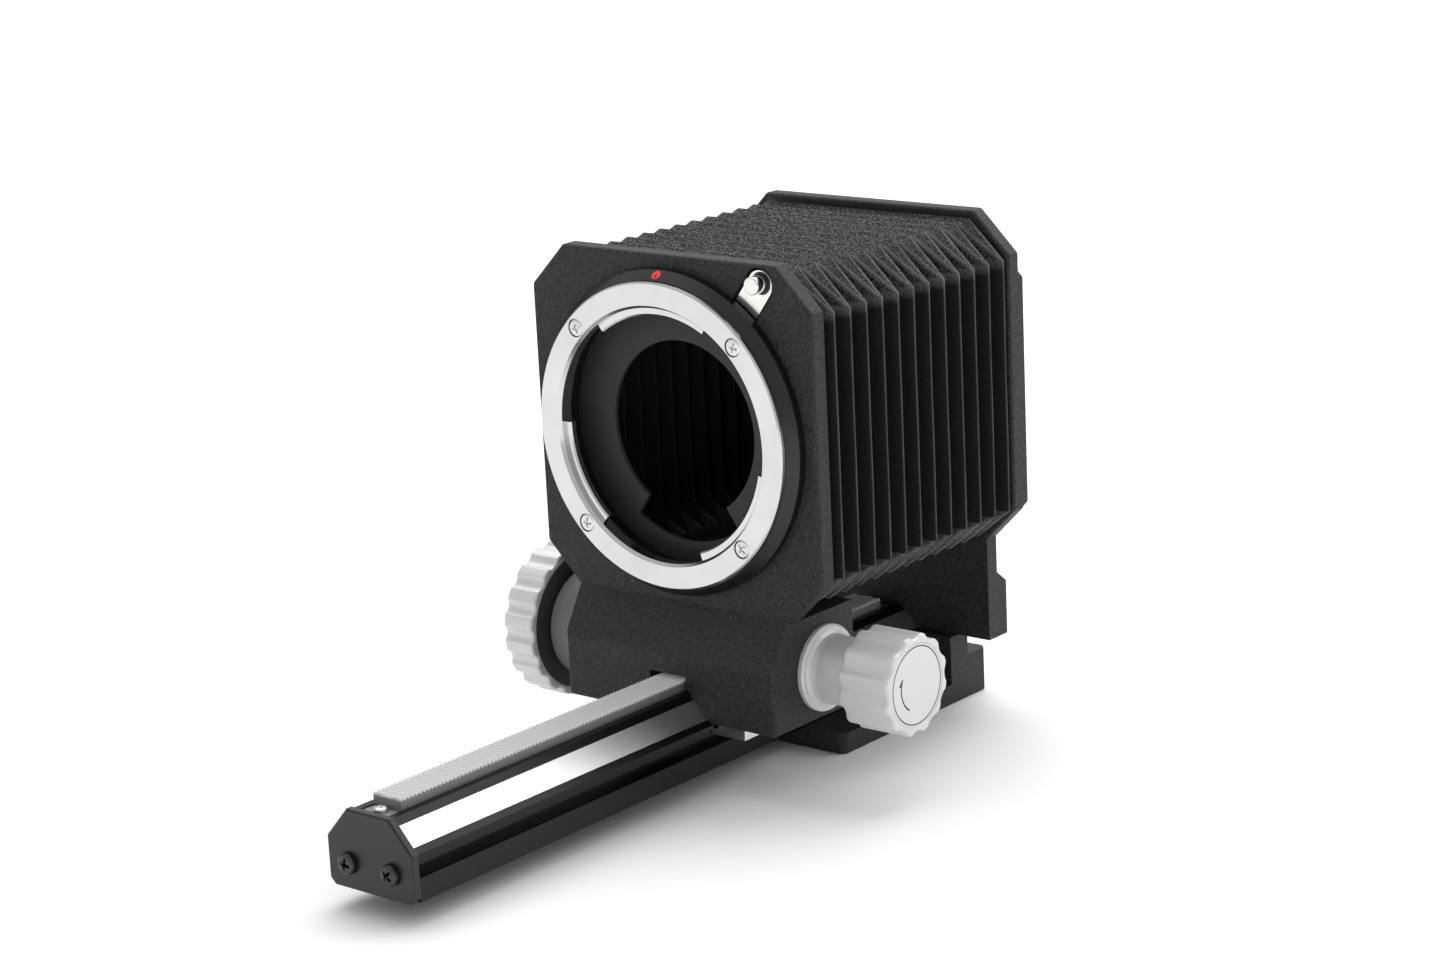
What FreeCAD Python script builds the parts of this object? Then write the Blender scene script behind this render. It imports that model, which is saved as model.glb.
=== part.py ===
import FreeCAD, Part
import math
import os

# Close-up bellows attachment for a single-lens reflex camera.
# Units are millimetres. +X is to the right of a person facing the lens side, -Y is the lens
# side, +Z is up, and the origin is the mouth of the tripod socket under the foot.

V = FreeCAD.Vector
X_DIR = V(1, 0, 0)
Y_DIR = V(0, 1, 0)
Z_DIR = V(0, 0, 1)

# Fits
RUN_GAP = 0.05          # radial or face gap of every running fit
FREE_GAP = 0.4          # gap between pieces that pass without touching

# Standards: two octagonal plates either side of the bellows
PLATE_BOTTOM_Z = 32.7   # lower edge of both plates over the foot's underside
PLATE_HALF = 32.8       # half of the octagon's width and height
PLATE_CUT = 8.0         # corner cut of the octagon
FRONT_Y = -42.0         # front face of the front plate
FRONT_T = 3.5
PLATE_SPACE = 57.0      # clear distance between the two plates at rest
REAR_T = 3.1
PAD_T = 2.7             # raised pad on the camera side of the rear plate
PAD_CUT = 12.5          # large upper corner cuts of the pad
EDGE_ROUND = 0.7        # rounding of the castings' edges
CORNER_ROUND = 1.0      # rounding of the octagons' corners

# Carriage under the front plate
SLOPE_Y = -47.2         # front face of the carriage
SLOPE_Z = 24.6          # lower edge of the sloping name-plate face
CARRIAGE_REAR_Y = -23.1
CARRIAGE_BOTTOM_Z = 12.7

# Rail
RAIL_HALF = 9.8
RAIL_BOTTOM_Z = 4.1
SHOULDER_Z = 12.5
RAIL_TOP_HALF = 4.75
RAIL_TOP_Z = 17.95
RAIL_FRONT_Y = -123.8
GROOVE_LOW_Z = 8.3
GROOVE_HIGH_Z = 11.6
GROOVE_STEP_Z = 10.1
GROOVE_DEEP_X = 7.4
GROOVE_RIB_X = 8.5
CHANNEL_FLOOR_Z = 16.0
CORE_HALF = 5.4         # hollow core of the extrusion
CORE_LOW_Z = 6.4
CORE_HIGH_Z = 13.4
END_PLATE_T = 1.5
END_PLATE_LIP = 0.25
END_SCREW_X = 5.0
END_BOSS_R = 2.3
END_SCREW_Z = 8.6
STRIP_START = 0.18      # strip edges as fractions of the slope's width
STRIP_END = 0.78
STRIP_T = 0.6
STRIP_PROUD = 0.1

# Rack and pinion
MODULE = 0.3
PINION_TEETH = 16
HELIX_DEG = 14.0
RACK_HALF = 3.3
RACK_TIP_Z = 20.0
RACK_FRONT_Y = -120.2
RACK_REAR_GAP = 1.1     # from the rack's rear tab to the rear plate
RACK_TAB_L = 3.4
RACK_TAB_Z = 17.7
TOOTH_SLACK = 0.09      # tooth thinning that gives the mesh its backlash
PINION_HALF = 3.6
TWIST_STEPS = 4

# Drive and clamp axis, through the carriage along X
DRIVE_Y = -31.9
SHAFT_R = 1.5
CAVITY_R = 4.2
BRAKE_DISC_R = 3.3
BRAKE_X = 5.6           # right end of the drive shaft
BRAKE_TRAVEL = 0.375    # advance of the clamp screw over its turn
PAD_LENGTH = 2.0
SCREW_R = 2.0
HOUSING_R = 10.5
HOUSING_PROUD = 0.9     # the boss stands out this far beyond the plates' sides
DRIVE_KNOB_R = 14.9
DRIVE_KNOB_CLEAR = 1.4  # from the plates' side to the focus knob
DRIVE_KNOB_W = 7.3
DRIVE_SCALLOPS = 18
COLLAR_FLANGE_R = 8.1
COLLAR_FLANGE_T = 1.2
COLLAR_NECK_R = 6.4
COLLAR_PROUD = 1.1      # the collar's neck beyond the plates' side
COLLAR_PLUG_X = 12.0
CLAMP_KNOB_R = 9.4
CLAMP_KNOB_CLEAR = 1.8  # from the plates' side to the clamp knob
CLAMP_KNOB_W = 11.0
CLAMP_SCALLOPS = 12

# Lens mount
MOUNT_BASE_R = 30.3
MOUNT_BASE_NOSE_R = 28.7
MOUNT_BASE_D = 3.4
MOUNT_BASE_RIM = 1.6
SPIGOT_R = 27.0
BARREL_R = 25.4
RING_R = 28.5
RING_D = 4.5            # front of the bayonet ring ahead of the plate
RING_T = 1.5
THROAT_R = 23.7
TAB_R = 22.2
CHANNEL_R = 24.6
RING_SCREW_PCR = 26.1
BAFFLE_R = 26.0
BAFFLE_T = 0.8
BAFFLE_HOLE_R = 16.5
BAFFLE_NOTCH_R = 21.2

# Lens release
LEVER_END_R = 36.0      # from the optical axis to the middle of the lever's round end
STUD_PCR = 36.5         # from the optical axis to the stud
STUD_DEG = 53.6
STUD_R = 1.65
LEVER_R = 2.7
RECESS_R = 3.2
RECESS_DEPTH = 2.4
RELEASE_TRAVEL = 1.0
LEVER_T = 0.7
LEVER_SINK = 0.4

# Bellows
FOLDS = 12
SIDE_RIDGE = 33.4
SIDE_VALLEY = 27.6
TOP_RIDGE = 31.2
TOP_VALLEY = 30.1
FOLD_CORNER = 24.2
FRAME_T = 0.6
FRAME_HALF = 31.8
FRAME_OPEN = 26.2
SKIN_SIDE = 1.3
SKIN_TOP = 0.6

# Foot and rear standard
FOOT_HALF = 18.7
FOOT_LENGTH = 47.25
HEEL_LENGTH = 6.4
FOOT_CORNER = 1.0
UPRIGHT_LEAD = 2.6      # the upright starts this far ahead of the rear plate
NECK_Z = 13.7
HEEL_Z = 8.8
SKIRT_HALF = 26.2
SKIRT_T = 6.1
SKIRT_STEP_Z = 26.8
BUSH_LEAD = 18.5        # from the rear plate forward to the tripod bush
FOOT_SCREW_LEADS = (31.5, 7.0)  # the same for the screws that hold the rail
SKIRT_SCREW_IN = 1.4    # skirt screws behind the rear plate's front face
SOCKET_R = 2.6          # wall radius of the 1/4 inch tripod thread
BUSH_R = 5.0
BUSH_TOP_Z = 9.6
SOCKET_DEPTH = 8.2

# Camera mount
TURN_BORE_R = 27.2
TURN_LIP = 3.2          # the turntable's flange beyond its bore
TURN_FLANGE_T = 2.4
LIGHT_R = 20.2
MALE_R = 22.3
MALE_LUG_R = 23.6
MALE_LENGTH = 5.2
MALE_SEAT_R = 27.4
MALE_SEAT_T = 1.2

# Derived positions
DRIVE_Z = RACK_TIP_Z - MODULE + MODULE * PINION_TEETH / 2
FRONT_REAR_Y = FRONT_Y + FRONT_T
REAR_Y = FRONT_REAR_Y + PLATE_SPACE
LENS_Z = PLATE_BOTTOM_Z + PLATE_HALF
CARRIAGE_HALF = PLATE_HALF - PLATE_CUT
RAIL_REAR_Y = REAR_Y
RACK_REAR_Y = REAR_Y - RACK_REAR_GAP - RACK_TAB_L
UPRIGHT_Y = REAR_Y - UPRIGHT_LEAD
NECK_REAR_Y = REAR_Y + REAR_T
FOOT_REAR_Y = NECK_REAR_Y + HEEL_LENGTH
FOOT_FRONT_Y = FOOT_REAR_Y - FOOT_LENGTH
BUSH_Y = REAR_Y - BUSH_LEAD
HOUSING_END_X = -PLATE_HALF - HOUSING_PROUD
DRIVE_KNOB_IN_X = -PLATE_HALF - DRIVE_KNOB_CLEAR
DRIVE_KNOB_OUT_X = DRIVE_KNOB_IN_X - DRIVE_KNOB_W
COLLAR_END_X = PLATE_HALF + COLLAR_PROUD
CLAMP_KNOB_IN_X = PLATE_HALF + CLAMP_KNOB_CLEAR
CLAMP_KNOB_OUT_X = CLAMP_KNOB_IN_X + CLAMP_KNOB_W
TURN_FLANGE_R = TURN_BORE_R + TURN_LIP
PAD_REAR_Y = REAR_Y + REAR_T + PAD_T
TOOTH_PITCH = math.pi * MODULE
STUD_X = STUD_PCR * math.cos(math.radians(STUD_DEG))
STUD_Z = LENS_Z + STUD_PCR * math.sin(math.radians(STUD_DEG))


def prism_y(points, y0, y1):
    """Prism along Y from (x, z) outline points."""
    wire = Part.makePolygon([V(x, y0, z) for x, z in points + points[:1]])
    return Part.Face(wire).extrude(V(0, y1 - y0, 0))


def prism_x(points, x0, x1):
    """Prism along X from (y, z) outline points."""
    wire = Part.makePolygon([V(x0, y, z) for y, z in points + points[:1]])
    return Part.Face(wire).extrude(V(x1 - x0, 0, 0))


def prism_z(points, z0, z1):
    """Prism along Z from (x, y) outline points."""
    wire = Part.makePolygon([V(x, y, z0) for x, y in points + points[:1]])
    return Part.Face(wire).extrude(V(0, 0, z1 - z0))


def block(x0, x1, y0, y1, z0, z1):
    """Box between two corners."""
    return Part.makeBox(x1 - x0, y1 - y0, z1 - z0, V(x0, y0, z0))


def rod_x(radius, x0, x1, y=DRIVE_Y, z=DRIVE_Z):
    """Cylinder along X, on the drive axis unless told otherwise."""
    return Part.makeCylinder(radius, x1 - x0, V(x0, y, z), X_DIR)


def rod_y(radius, y0, y1, x=0.0, z=LENS_Z):
    """Cylinder along Y, on the optical axis unless told otherwise."""
    return Part.makeCylinder(radius, y1 - y0, V(x, y0, z), Y_DIR)


def rod_z(radius, z0, z1, x=0.0, y=0.0):
    """Cylinder along Z."""
    return Part.makeCylinder(radius, z1 - z0, V(x, y, z0), Z_DIR)


def turned_y(profile, x=0.0, z=LENS_Z):
    """Solid turned about a line along Y from (radius, y) points."""
    points = [V(x + r, y, z) for r, y in profile + profile[:1]]
    face = Part.Face(Part.makePolygon(points))
    return face.revolve(V(x, 0, z), Y_DIR, 360)


def turned_x(profile):
    """Solid turned about the drive axis from (radius, x) points."""
    points = [V(x, DRIVE_Y, DRIVE_Z + r) for r, x in profile + profile[:1]]
    face = Part.Face(Part.makePolygon(points))
    return face.revolve(V(0, DRIVE_Y, DRIVE_Z), X_DIR, 360)


def sector_y(radius, start_deg, end_deg, y0, y1):
    """Pie sector about the optical axis, angles from +X towards +Z."""
    sweep = end_deg - start_deg
    pie = Part.makeCylinder(radius, y1 - y0, V(0, 0, 0), Z_DIR, sweep)
    pie.rotate(V(0, 0, 0), Z_DIR, start_deg)
    pie.rotate(V(0, 0, 0), X_DIR, 90)
    pie.translate(V(0, y1, LENS_Z))
    return pie


def octagon(half, cut, low_cut=None, centre_z=LENS_Z):
    """Outline of a square with cut corners, as (x, z) points."""
    low = cut if low_cut is None else low_cut
    return [
        (-half + low, centre_z - half),
        (half - low, centre_z - half),
        (half, centre_z - half + low),
        (half, centre_z + half - cut),
        (half - cut, centre_z + half),
        (-half + cut, centre_z + half),
        (-half, centre_z + half - cut),
        (-half, centre_z - half + low),
    ]


def edges_where(shape, keep):
    """Edges whose end points all satisfy the test."""
    return [e for e in shape.Edges if all(keep(v.Point) for v in e.Vertexes)]


def bevel_where(shape, size, keep):
    return shape.makeChamfer(size, edges_where(shape, keep))


def round_where(shape, radius, keep):
    return shape.makeFillet(radius, edges_where(shape, keep))


def rounded_plate(outline, y0, y1, face_y):
    """Plate with rounded corners and one rounded face edge, from (x, z) points."""
    plate = prism_y(outline, y0, y1)
    along = [e for e in plate.Edges if abs(e.Vertexes[0].Point.y - e.Vertexes[1].Point.y) > 0.1]
    plate = plate.makeFillet(CORNER_ROUND, along)
    return round_where(plate, EDGE_ROUND, lambda p: abs(p.y - face_y) < 0.01)


def mirrored_x(shape):
    """Mirror image across the X = 0 plane."""
    return shape.mirror(V(0, 0, 0), X_DIR)


def on_circle(radius, angle_deg):
    """Point on a circle about the optical axis, as (x, z)."""
    angle = math.radians(angle_deg)
    return radius * math.cos(angle), LENS_Z + radius * math.sin(angle)


def screw(head_r, head_h, shank_r, shank_l, point, outward):
    """Cross-recessed screw; the head's underside is centred on the point."""
    body = Part.makeCylinder(head_r, head_h, V(0, 0, 0), Z_DIR)
    rim = [e for e in body.Edges if e.Closed and e.Vertexes[0].Point.z > head_h / 2]
    body = body.makeFillet(head_h * 0.35, rim)
    arm = head_r * 0.62
    slot = head_r * 0.16
    deep = head_h * 0.55
    for dx, dy in ((arm, slot), (slot, arm)):
        cut = Part.makeBox(2 * dx, 2 * dy, deep, V(-dx, -dy, head_h - deep))
        body = body.cut(cut)
    body = body.fuse(Part.makeCylinder(shank_r, shank_l, V(0, 0, -shank_l), Z_DIR))
    body.Placement = FreeCAD.Placement(V(*point), FreeCAD.Rotation(Z_DIR, V(*outward)))
    return body


def hole(radius, length, point, inward):
    """Cylinder that starts on the point and runs inward."""
    return Part.makeCylinder(radius, length, V(*point), V(*inward))


def fluted_knob(radius, x0, x1, count, flute_r, depth, bevel):
    """Knob along X whose rim is scalloped by round flutes."""
    low = min(x0, x1)
    high = max(x0, x1)
    knob = rod_x(radius, low, high)
    knob = knob.makeChamfer(bevel, [e for e in knob.Edges if e.Closed])
    centre_r = radius + flute_r - depth
    cutters = []
    for i in range(count):
        angle = 2 * math.pi * i / count
        y = DRIVE_Y + centre_r * math.cos(angle)
        z = DRIVE_Z + centre_r * math.sin(angle)
        cutters.append(rod_x(flute_r, low - 1, high + 1, y, z))
    return knob.cut(Part.makeCompound(cutters))


# ---------------------------------------------------------------- rail group

def slope_point(fraction, lift):
    """Point on the right rail slope, lifted along the slope's normal."""
    dx = RAIL_TOP_HALF - RAIL_HALF
    dz = RAIL_TOP_Z - SHOULDER_Z
    length = math.hypot(dx, dz)
    x = RAIL_HALF + dx * fraction + lift * dz / length
    z = SHOULDER_Z + dz * fraction - lift * dx / length
    return x, z


def strip_outline():
    """Section of the steel slideway strip in its groove on the right slope."""
    return [
        slope_point(STRIP_START, STRIP_PROUD),
        slope_point(STRIP_START, STRIP_PROUD - STRIP_T),
        slope_point(STRIP_END, STRIP_PROUD - STRIP_T),
        slope_point(STRIP_END, STRIP_PROUD),
    ]


def make_strip():
    return prism_y(strip_outline(), RAIL_FRONT_Y, RAIL_REAR_Y)


def rail_outline():
    """Half-section of the rail's outside with the two-step side groove."""
    right = [
        (RAIL_HALF, RAIL_BOTTOM_Z),
        (RAIL_HALF, GROOVE_LOW_Z),
        (GROOVE_DEEP_X, GROOVE_LOW_Z),
        (GROOVE_DEEP_X, GROOVE_STEP_Z),
        (GROOVE_RIB_X, GROOVE_STEP_Z),
        (GROOVE_RIB_X, GROOVE_HIGH_Z),
        (RAIL_HALF, GROOVE_HIGH_Z),
        (RAIL_HALF, SHOULDER_Z),
        (RAIL_TOP_HALF, RAIL_TOP_Z),
        (RACK_HALF, RAIL_TOP_Z),
        (RACK_HALF, CHANNEL_FLOOR_Z),
    ]
    left = [(-x, z) for x, z in reversed(right)]
    return right + left


def rack_screw_points():
    """Screw seats on the rack's front and rear tabs."""
    front = (0.0, RACK_FRONT_Y - RACK_TAB_L / 2, RACK_TAB_Z)
    rear = (0.0, RACK_REAR_Y + RACK_TAB_L / 2, RACK_TAB_Z)
    return [front, rear]


def end_screw_points():
    y = RAIL_FRONT_Y - END_PLATE_T
    return [(side * END_SCREW_X, y, END_SCREW_Z) for side in (-1, 1)]


def foot_screw_points():
    """Screws that hold the rail down onto the foot, seen from below."""
    return [(0.0, REAR_Y - lead, 0.9) for lead in FOOT_SCREW_LEADS]


def make_rail():
    rail = prism_y(rail_outline(), RAIL_FRONT_Y, RAIL_REAR_Y)
    core = block(-CORE_HALF, CORE_HALF, RAIL_FRONT_Y, RAIL_REAR_Y, CORE_LOW_Z, CORE_HIGH_Z)
    bosses = []
    for side in (-1, 1):
        x = side * END_SCREW_X
        bosses.append(rod_y(END_BOSS_R, RAIL_FRONT_Y - 1, RAIL_REAR_Y + 1, x, END_SCREW_Z))
    core = core.cut(Part.makeCompound(bosses))
    strip = make_strip()
    rail = rail.cut(Part.makeCompound([core, strip, mirrored_x(strip)]))
    cuts = [rod_z(BUSH_R, RAIL_BOTTOM_Z - 1, BUSH_TOP_Z, y=BUSH_Y)]
    for x, y, z in rack_screw_points():
        cuts.append(hole(0.8, 3.2, (x, y, z), (0, 0, -1)))
    for x, y, z in end_screw_points():
        cuts.append(hole(1.1, 7.0, (x, y, z), (0, 1, 0)))
    for x, y, z in foot_screw_points():
        cuts.append(hole(1.25, 7.0, (x, y, z), (0, 0, 1)))
    return rail.cut(Part.makeCompound(cuts))


def make_end_plate():
    lip = END_PLATE_LIP
    outline = [
        (-RAIL_HALF - lip + 1.2, RAIL_BOTTOM_Z - lip),
        (RAIL_HALF + lip - 1.2, RAIL_BOTTOM_Z - lip),
        (RAIL_HALF + lip, RAIL_BOTTOM_Z - lip + 1.2),
        (RAIL_HALF + lip, SHOULDER_Z + lip / 2),
        (RAIL_TOP_HALF + lip, RAIL_TOP_Z + lip),
        (-RAIL_TOP_HALF - lip, RAIL_TOP_Z + lip),
        (-RAIL_HALF - lip, SHOULDER_Z + lip / 2),
        (-RAIL_HALF - lip, RAIL_BOTTOM_Z - lip + 1.2),
    ]
    front = RAIL_FRONT_Y - END_PLATE_T
    plate = prism_y(outline, front, RAIL_FRONT_Y)
    plate = bevel_where(plate, 0.3, lambda p: abs(p.y - front) < 0.01)
    cuts = [hole(1.1, 3.0, (x, y, z), (0, 1, 0)) for x, y, z in end_screw_points()]
    return plate.cut(Part.makeCompound(cuts))


def make_end_plate_screws():
    pieces = [screw(1.95, 1.3, 1.1, 7.0, p, (0, -1, 0)) for p in end_screw_points()]
    return Part.makeCompound(pieces)


def rack_tooth_points():
    """Toothed top line of the rack, as (y, z) points in the plane X = 0."""
    half_top = TOOTH_PITCH / 4 - 0.35 * MODULE - TOOTH_SLACK / 4
    half_root = TOOTH_PITCH / 4 + 0.42 * MODULE - TOOTH_SLACK / 4
    tip = RACK_TIP_Z
    root = RACK_TIP_Z - 2.3 * MODULE
    first = math.ceil((RACK_FRONT_Y - 4 - DRIVE_Y) / TOOTH_PITCH)
    last = math.floor((RACK_REAR_Y + 4 - DRIVE_Y) / TOOTH_PITCH)
    points = []
    for k in range(first, last + 1):
        y = DRIVE_Y + (k + 0.5) * TOOTH_PITCH
        points += [(y - half_root, root), (y - half_top, tip)]
        points += [(y + half_top, tip), (y + half_root, root)]
    return points


def make_rack():
    teeth = rack_tooth_points()
    top = [(teeth[0][0], CHANNEL_FLOOR_Z)] + teeth + [(teeth[-1][0], CHANNEL_FLOOR_Z)]
    lean = RACK_HALF * math.tan(math.radians(HELIX_DEG))
    points = [V(-RACK_HALF, y - lean, z) for y, z in top + top[:1]]
    bar = Part.Face(Part.makePolygon(points)).extrude(V(2 * RACK_HALF, 2 * lean, 0))
    bar = bar.common(block(-10, 10, RACK_FRONT_Y, RACK_REAR_Y, 0, 30))
    solids = [bar]
    for y0, y1 in (
        (RACK_FRONT_Y - RACK_TAB_L, RACK_FRONT_Y),
        (RACK_REAR_Y, RACK_REAR_Y + RACK_TAB_L),
    ):
        solids.append(block(-RACK_HALF, RACK_HALF, y0, y1, CHANNEL_FLOOR_Z, RACK_TAB_Z))
    rack = solids[0].fuse(solids[1:])
    cuts = [hole(0.8, 3.2, p, (0, 0, -1)) for p in rack_screw_points()]
    return rack.cut(Part.makeCompound(cuts)).removeSplitter()


def make_rack_screws():
    pieces = [screw(1.3, 0.9, 0.8, 3.2, p, (0, 0, 1)) for p in rack_screw_points()]
    return Part.makeCompound(pieces)


# ------------------------------------------------------ foot and rear standard

def skirt_screw_points():
    """Screws up through the foot's upright into the rear standard."""
    return [(side * 14.2, REAR_Y + SKIRT_SCREW_IN, 0.9) for side in (-1, 1)]


def make_foot():
    corner = FOOT_CORNER
    outline = [
        (-FOOT_HALF + corner, FOOT_FRONT_Y),
        (FOOT_HALF - corner, FOOT_FRONT_Y),
        (FOOT_HALF, FOOT_FRONT_Y + corner),
        (FOOT_HALF, FOOT_REAR_Y - corner),
        (FOOT_HALF - corner, FOOT_REAR_Y),
        (-FOOT_HALF + corner, FOOT_REAR_Y),
        (-FOOT_HALF, FOOT_REAR_Y - corner),
        (-FOOT_HALF, FOOT_FRONT_Y + corner),
    ]
    whole = round_where(prism_z(outline, 0, NECK_Z), 0.4, lambda p: p.z < 0.01)
    above = block(-30, 30, FOOT_FRONT_Y - 1, UPRIGHT_Y, RAIL_BOTTOM_Z, NECK_Z + 1)
    heel = block(-30, 30, NECK_REAR_Y, FOOT_REAR_Y + 1, HEEL_Z, NECK_Z + 1)
    way = block(-RAIL_HALF, RAIL_HALF, UPRIGHT_Y - 1, RAIL_REAR_Y, RAIL_BOTTOM_Z, NECK_Z + 1)
    cuts = [above, heel, way, rod_z(BUSH_R, -1, RAIL_BOTTOM_Z + 1, y=BUSH_Y)]
    for p in foot_screw_points() + skirt_screw_points():
        cuts.append(hole(1.25, 20, p, (0, 0, 1)))
        cuts.append(hole(2.3, 1.0, p, (0, 0, -1)))
    return whole.cut(Part.makeCompound(cuts))


def make_foot_screws():
    pieces = [screw(2.2, 0.8, 1.25, 7.0, p, (0, 0, -1)) for p in foot_screw_points()]
    pieces += [screw(2.2, 0.8, 1.25, 18.0, p, (0, 0, -1)) for p in skirt_screw_points()]
    return Part.makeCompound(pieces)


def make_tripod_bush():
    bush = rod_z(BUSH_R, 0, BUSH_TOP_Z, y=BUSH_Y)
    return bush.cut(rod_z(SOCKET_R, -1, SOCKET_DEPTH, y=BUSH_Y))


def make_rear_standard():
    back = REAR_Y + REAR_T
    plate = rounded_plate(octagon(PLATE_HALF, PLATE_CUT), REAR_Y, back, REAR_Y)
    pad_outline = octagon(PLATE_HALF - 0.5, PAD_CUT, PLATE_CUT)
    pad = rounded_plate(pad_outline, back, PAD_REAR_Y, PAD_REAR_Y)
    skirt_top = PLATE_BOTTOM_Z + 6
    skirt_points = [
        (REAR_Y, NECK_Z),
        (REAR_Y + SKIRT_T, NECK_Z),
        (REAR_Y + SKIRT_T, SKIRT_STEP_Z - 2.4),
        (back, SKIRT_STEP_Z),
        (back, skirt_top),
        (REAR_Y, skirt_top),
    ]
    skirt = prism_x(skirt_points, -SKIRT_HALF, SKIRT_HALF)
    body = plate.fuse([pad, skirt]).removeSplitter()
    cuts = [rod_y(TURN_BORE_R + RUN_GAP, REAR_Y - 1, PAD_REAR_Y + 1)]
    cuts.append(frame_plate(REAR_Y, REAR_Y + FRAME_T))
    for x, y, z in skirt_screw_points():
        cuts.append(hole(1.25, 5.2, (x, y, NECK_Z), (0, 0, 1)))
    return body.cut(Part.makeCompound(cuts))


def frame_plate(y0, y1):
    """Outside of the bellows frame, which is also its seat in a plate."""
    return prism_y(octagon(FRAME_HALF, FRAME_HALF - FOLD_CORNER), y0, y1)


def frame_ring(y0, y1):
    """Octagonal ring that the bellows cloth is glued to."""
    opening = octagon(FRAME_OPEN, FRAME_HALF - FOLD_CORNER)
    return frame_plate(y0, y1).cut(prism_y(opening, y0 - 1, y1 + 1))


def make_mount_retainer():
    """Ring on the bellows side that keeps the turntable in its bore."""
    inner = LIGHT_R + 0.6
    outer = TURN_BORE_R + RUN_GAP
    y0 = REAR_Y + FRAME_T
    y1 = REAR_Y + 1.6
    return turned_y([(inner, y0), (outer, y0), (outer, y1), (inner, y1)])


# ------------------------------------------------------------- bellows

def bellows_section(index, side_inset, top_inset, y):
    """Eight corners of one fold line, from the right side's top corner round."""
    at_ridge = index % 2 == 1
    side = (SIDE_RIDGE if at_ridge else SIDE_VALLEY) - side_inset
    top = (TOP_VALLEY if at_ridge else TOP_RIDGE) - top_inset
    corner = FOLD_CORNER - side_inset * 0.3
    quarter = [(side, corner), (corner, top), (-corner, top), (-side, corner)]
    ring = quarter + [(-x, -z) for x, z in quarter]
    return [V(x, y, LENS_Z + z) for x, z in ring]


def flat_face(points):
    return Part.Face(Part.makePolygon(points + points[:1]))


def bellows_wall(sections):
    """Flat panels and folded corner facets between neighbouring sections."""
    faces = []
    for i in range(len(sections) - 1):
        near = sections[i]
        far = sections[i + 1]
        near_is_ridge = i % 2 == 1
        for k in range(8):
            n = (k + 1) % 8
            if k % 2 == 1:
                faces.append(flat_face([near[k], near[n], far[n], far[k]]))
                continue
            side_first = k in (0, 4)
            near_to_next = near_is_ridge == side_first
            if near_to_next:
                faces.append(flat_face([near[k], near[n], far[n]]))
                faces.append(flat_face([near[k], far[n], far[k]]))
            else:
                faces.append(flat_face([near[k], near[n], far[k]]))
                faces.append(flat_face([near[n], far[n], far[k]]))
    return faces


def make_bellows():
    start = FRONT_REAR_Y
    end = REAR_Y
    step = (end - start) / (2 * FOLDS)
    outer = []
    inner = []
    for i in range(2 * FOLDS + 1):
        outer.append(bellows_section(i, 0, 0, start + i * step))
        inner.append(bellows_section(i, SKIN_SIDE, SKIN_TOP, start + i * step))
    faces = bellows_wall(outer) + bellows_wall(inner)
    for k in range(8):
        n = (k + 1) % 8
        for i in (0, 2 * FOLDS):
            faces.append(flat_face([outer[i][k], outer[i][n], inner[i][n], inner[i][k]]))
    shell = Part.makeShell(faces)
    shell.sewShape()
    solid = Part.makeSolid(shell)
    if solid.Volume < 0:
        solid.reverse()
    return solid


# ------------------------------------------------------------- front standard

def ring_screw_points():
    points = []
    for angle in (45, 135, 225, 315):
        x, z = on_circle(RING_SCREW_PCR, angle)
        points.append((x, FRONT_Y - RING_D + 0.7, z))
    return points


def keeper_screw_points():
    z = GROOVE_STEP_Z + 0.3
    return [(s * 13.0, y, z) for s in (-1, 1) for y in (SLOPE_Y + 5, CARRIAGE_REAR_Y - 5)]


def way_outline():
    """Opening through the carriage that rides on the rail's strips."""
    gap = STRIP_PROUD + RUN_GAP
    low_x, low_z = slope_point(0, gap)
    high_x, high_z = slope_point(1, gap)
    slope = (high_x - low_x) / (high_z - low_z)
    foot_z = CARRIAGE_BOTTOM_Z - 1
    foot_x = low_x + slope * (foot_z - low_z)
    right = [
        (foot_x, foot_z),
        (high_x, high_z),
        (high_x, RAIL_TOP_Z + FREE_GAP),
        (RACK_HALF + 1.0, RAIL_TOP_Z + FREE_GAP),
        (RACK_HALF + 1.0, RACK_TIP_Z + 1.0),
    ]
    return right + [(-x, z) for x, z in reversed(right)]


def lever_shape(radius, inner_r, y0, y1):
    """Round-ended bar pointing away from the optical axis, through the stud."""
    bar = block(-radius, radius, y0, y1, inner_r, LEVER_END_R)
    bar = bar.fuse(Part.makeCylinder(radius, y1 - y0, V(0, y0, LEVER_END_R), Y_DIR))
    bar.rotate(V(0, 0, 0), Y_DIR, 90 - STUD_DEG)
    bar.translate(V(0, 0, LENS_Z))
    return bar.removeSplitter()


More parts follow.
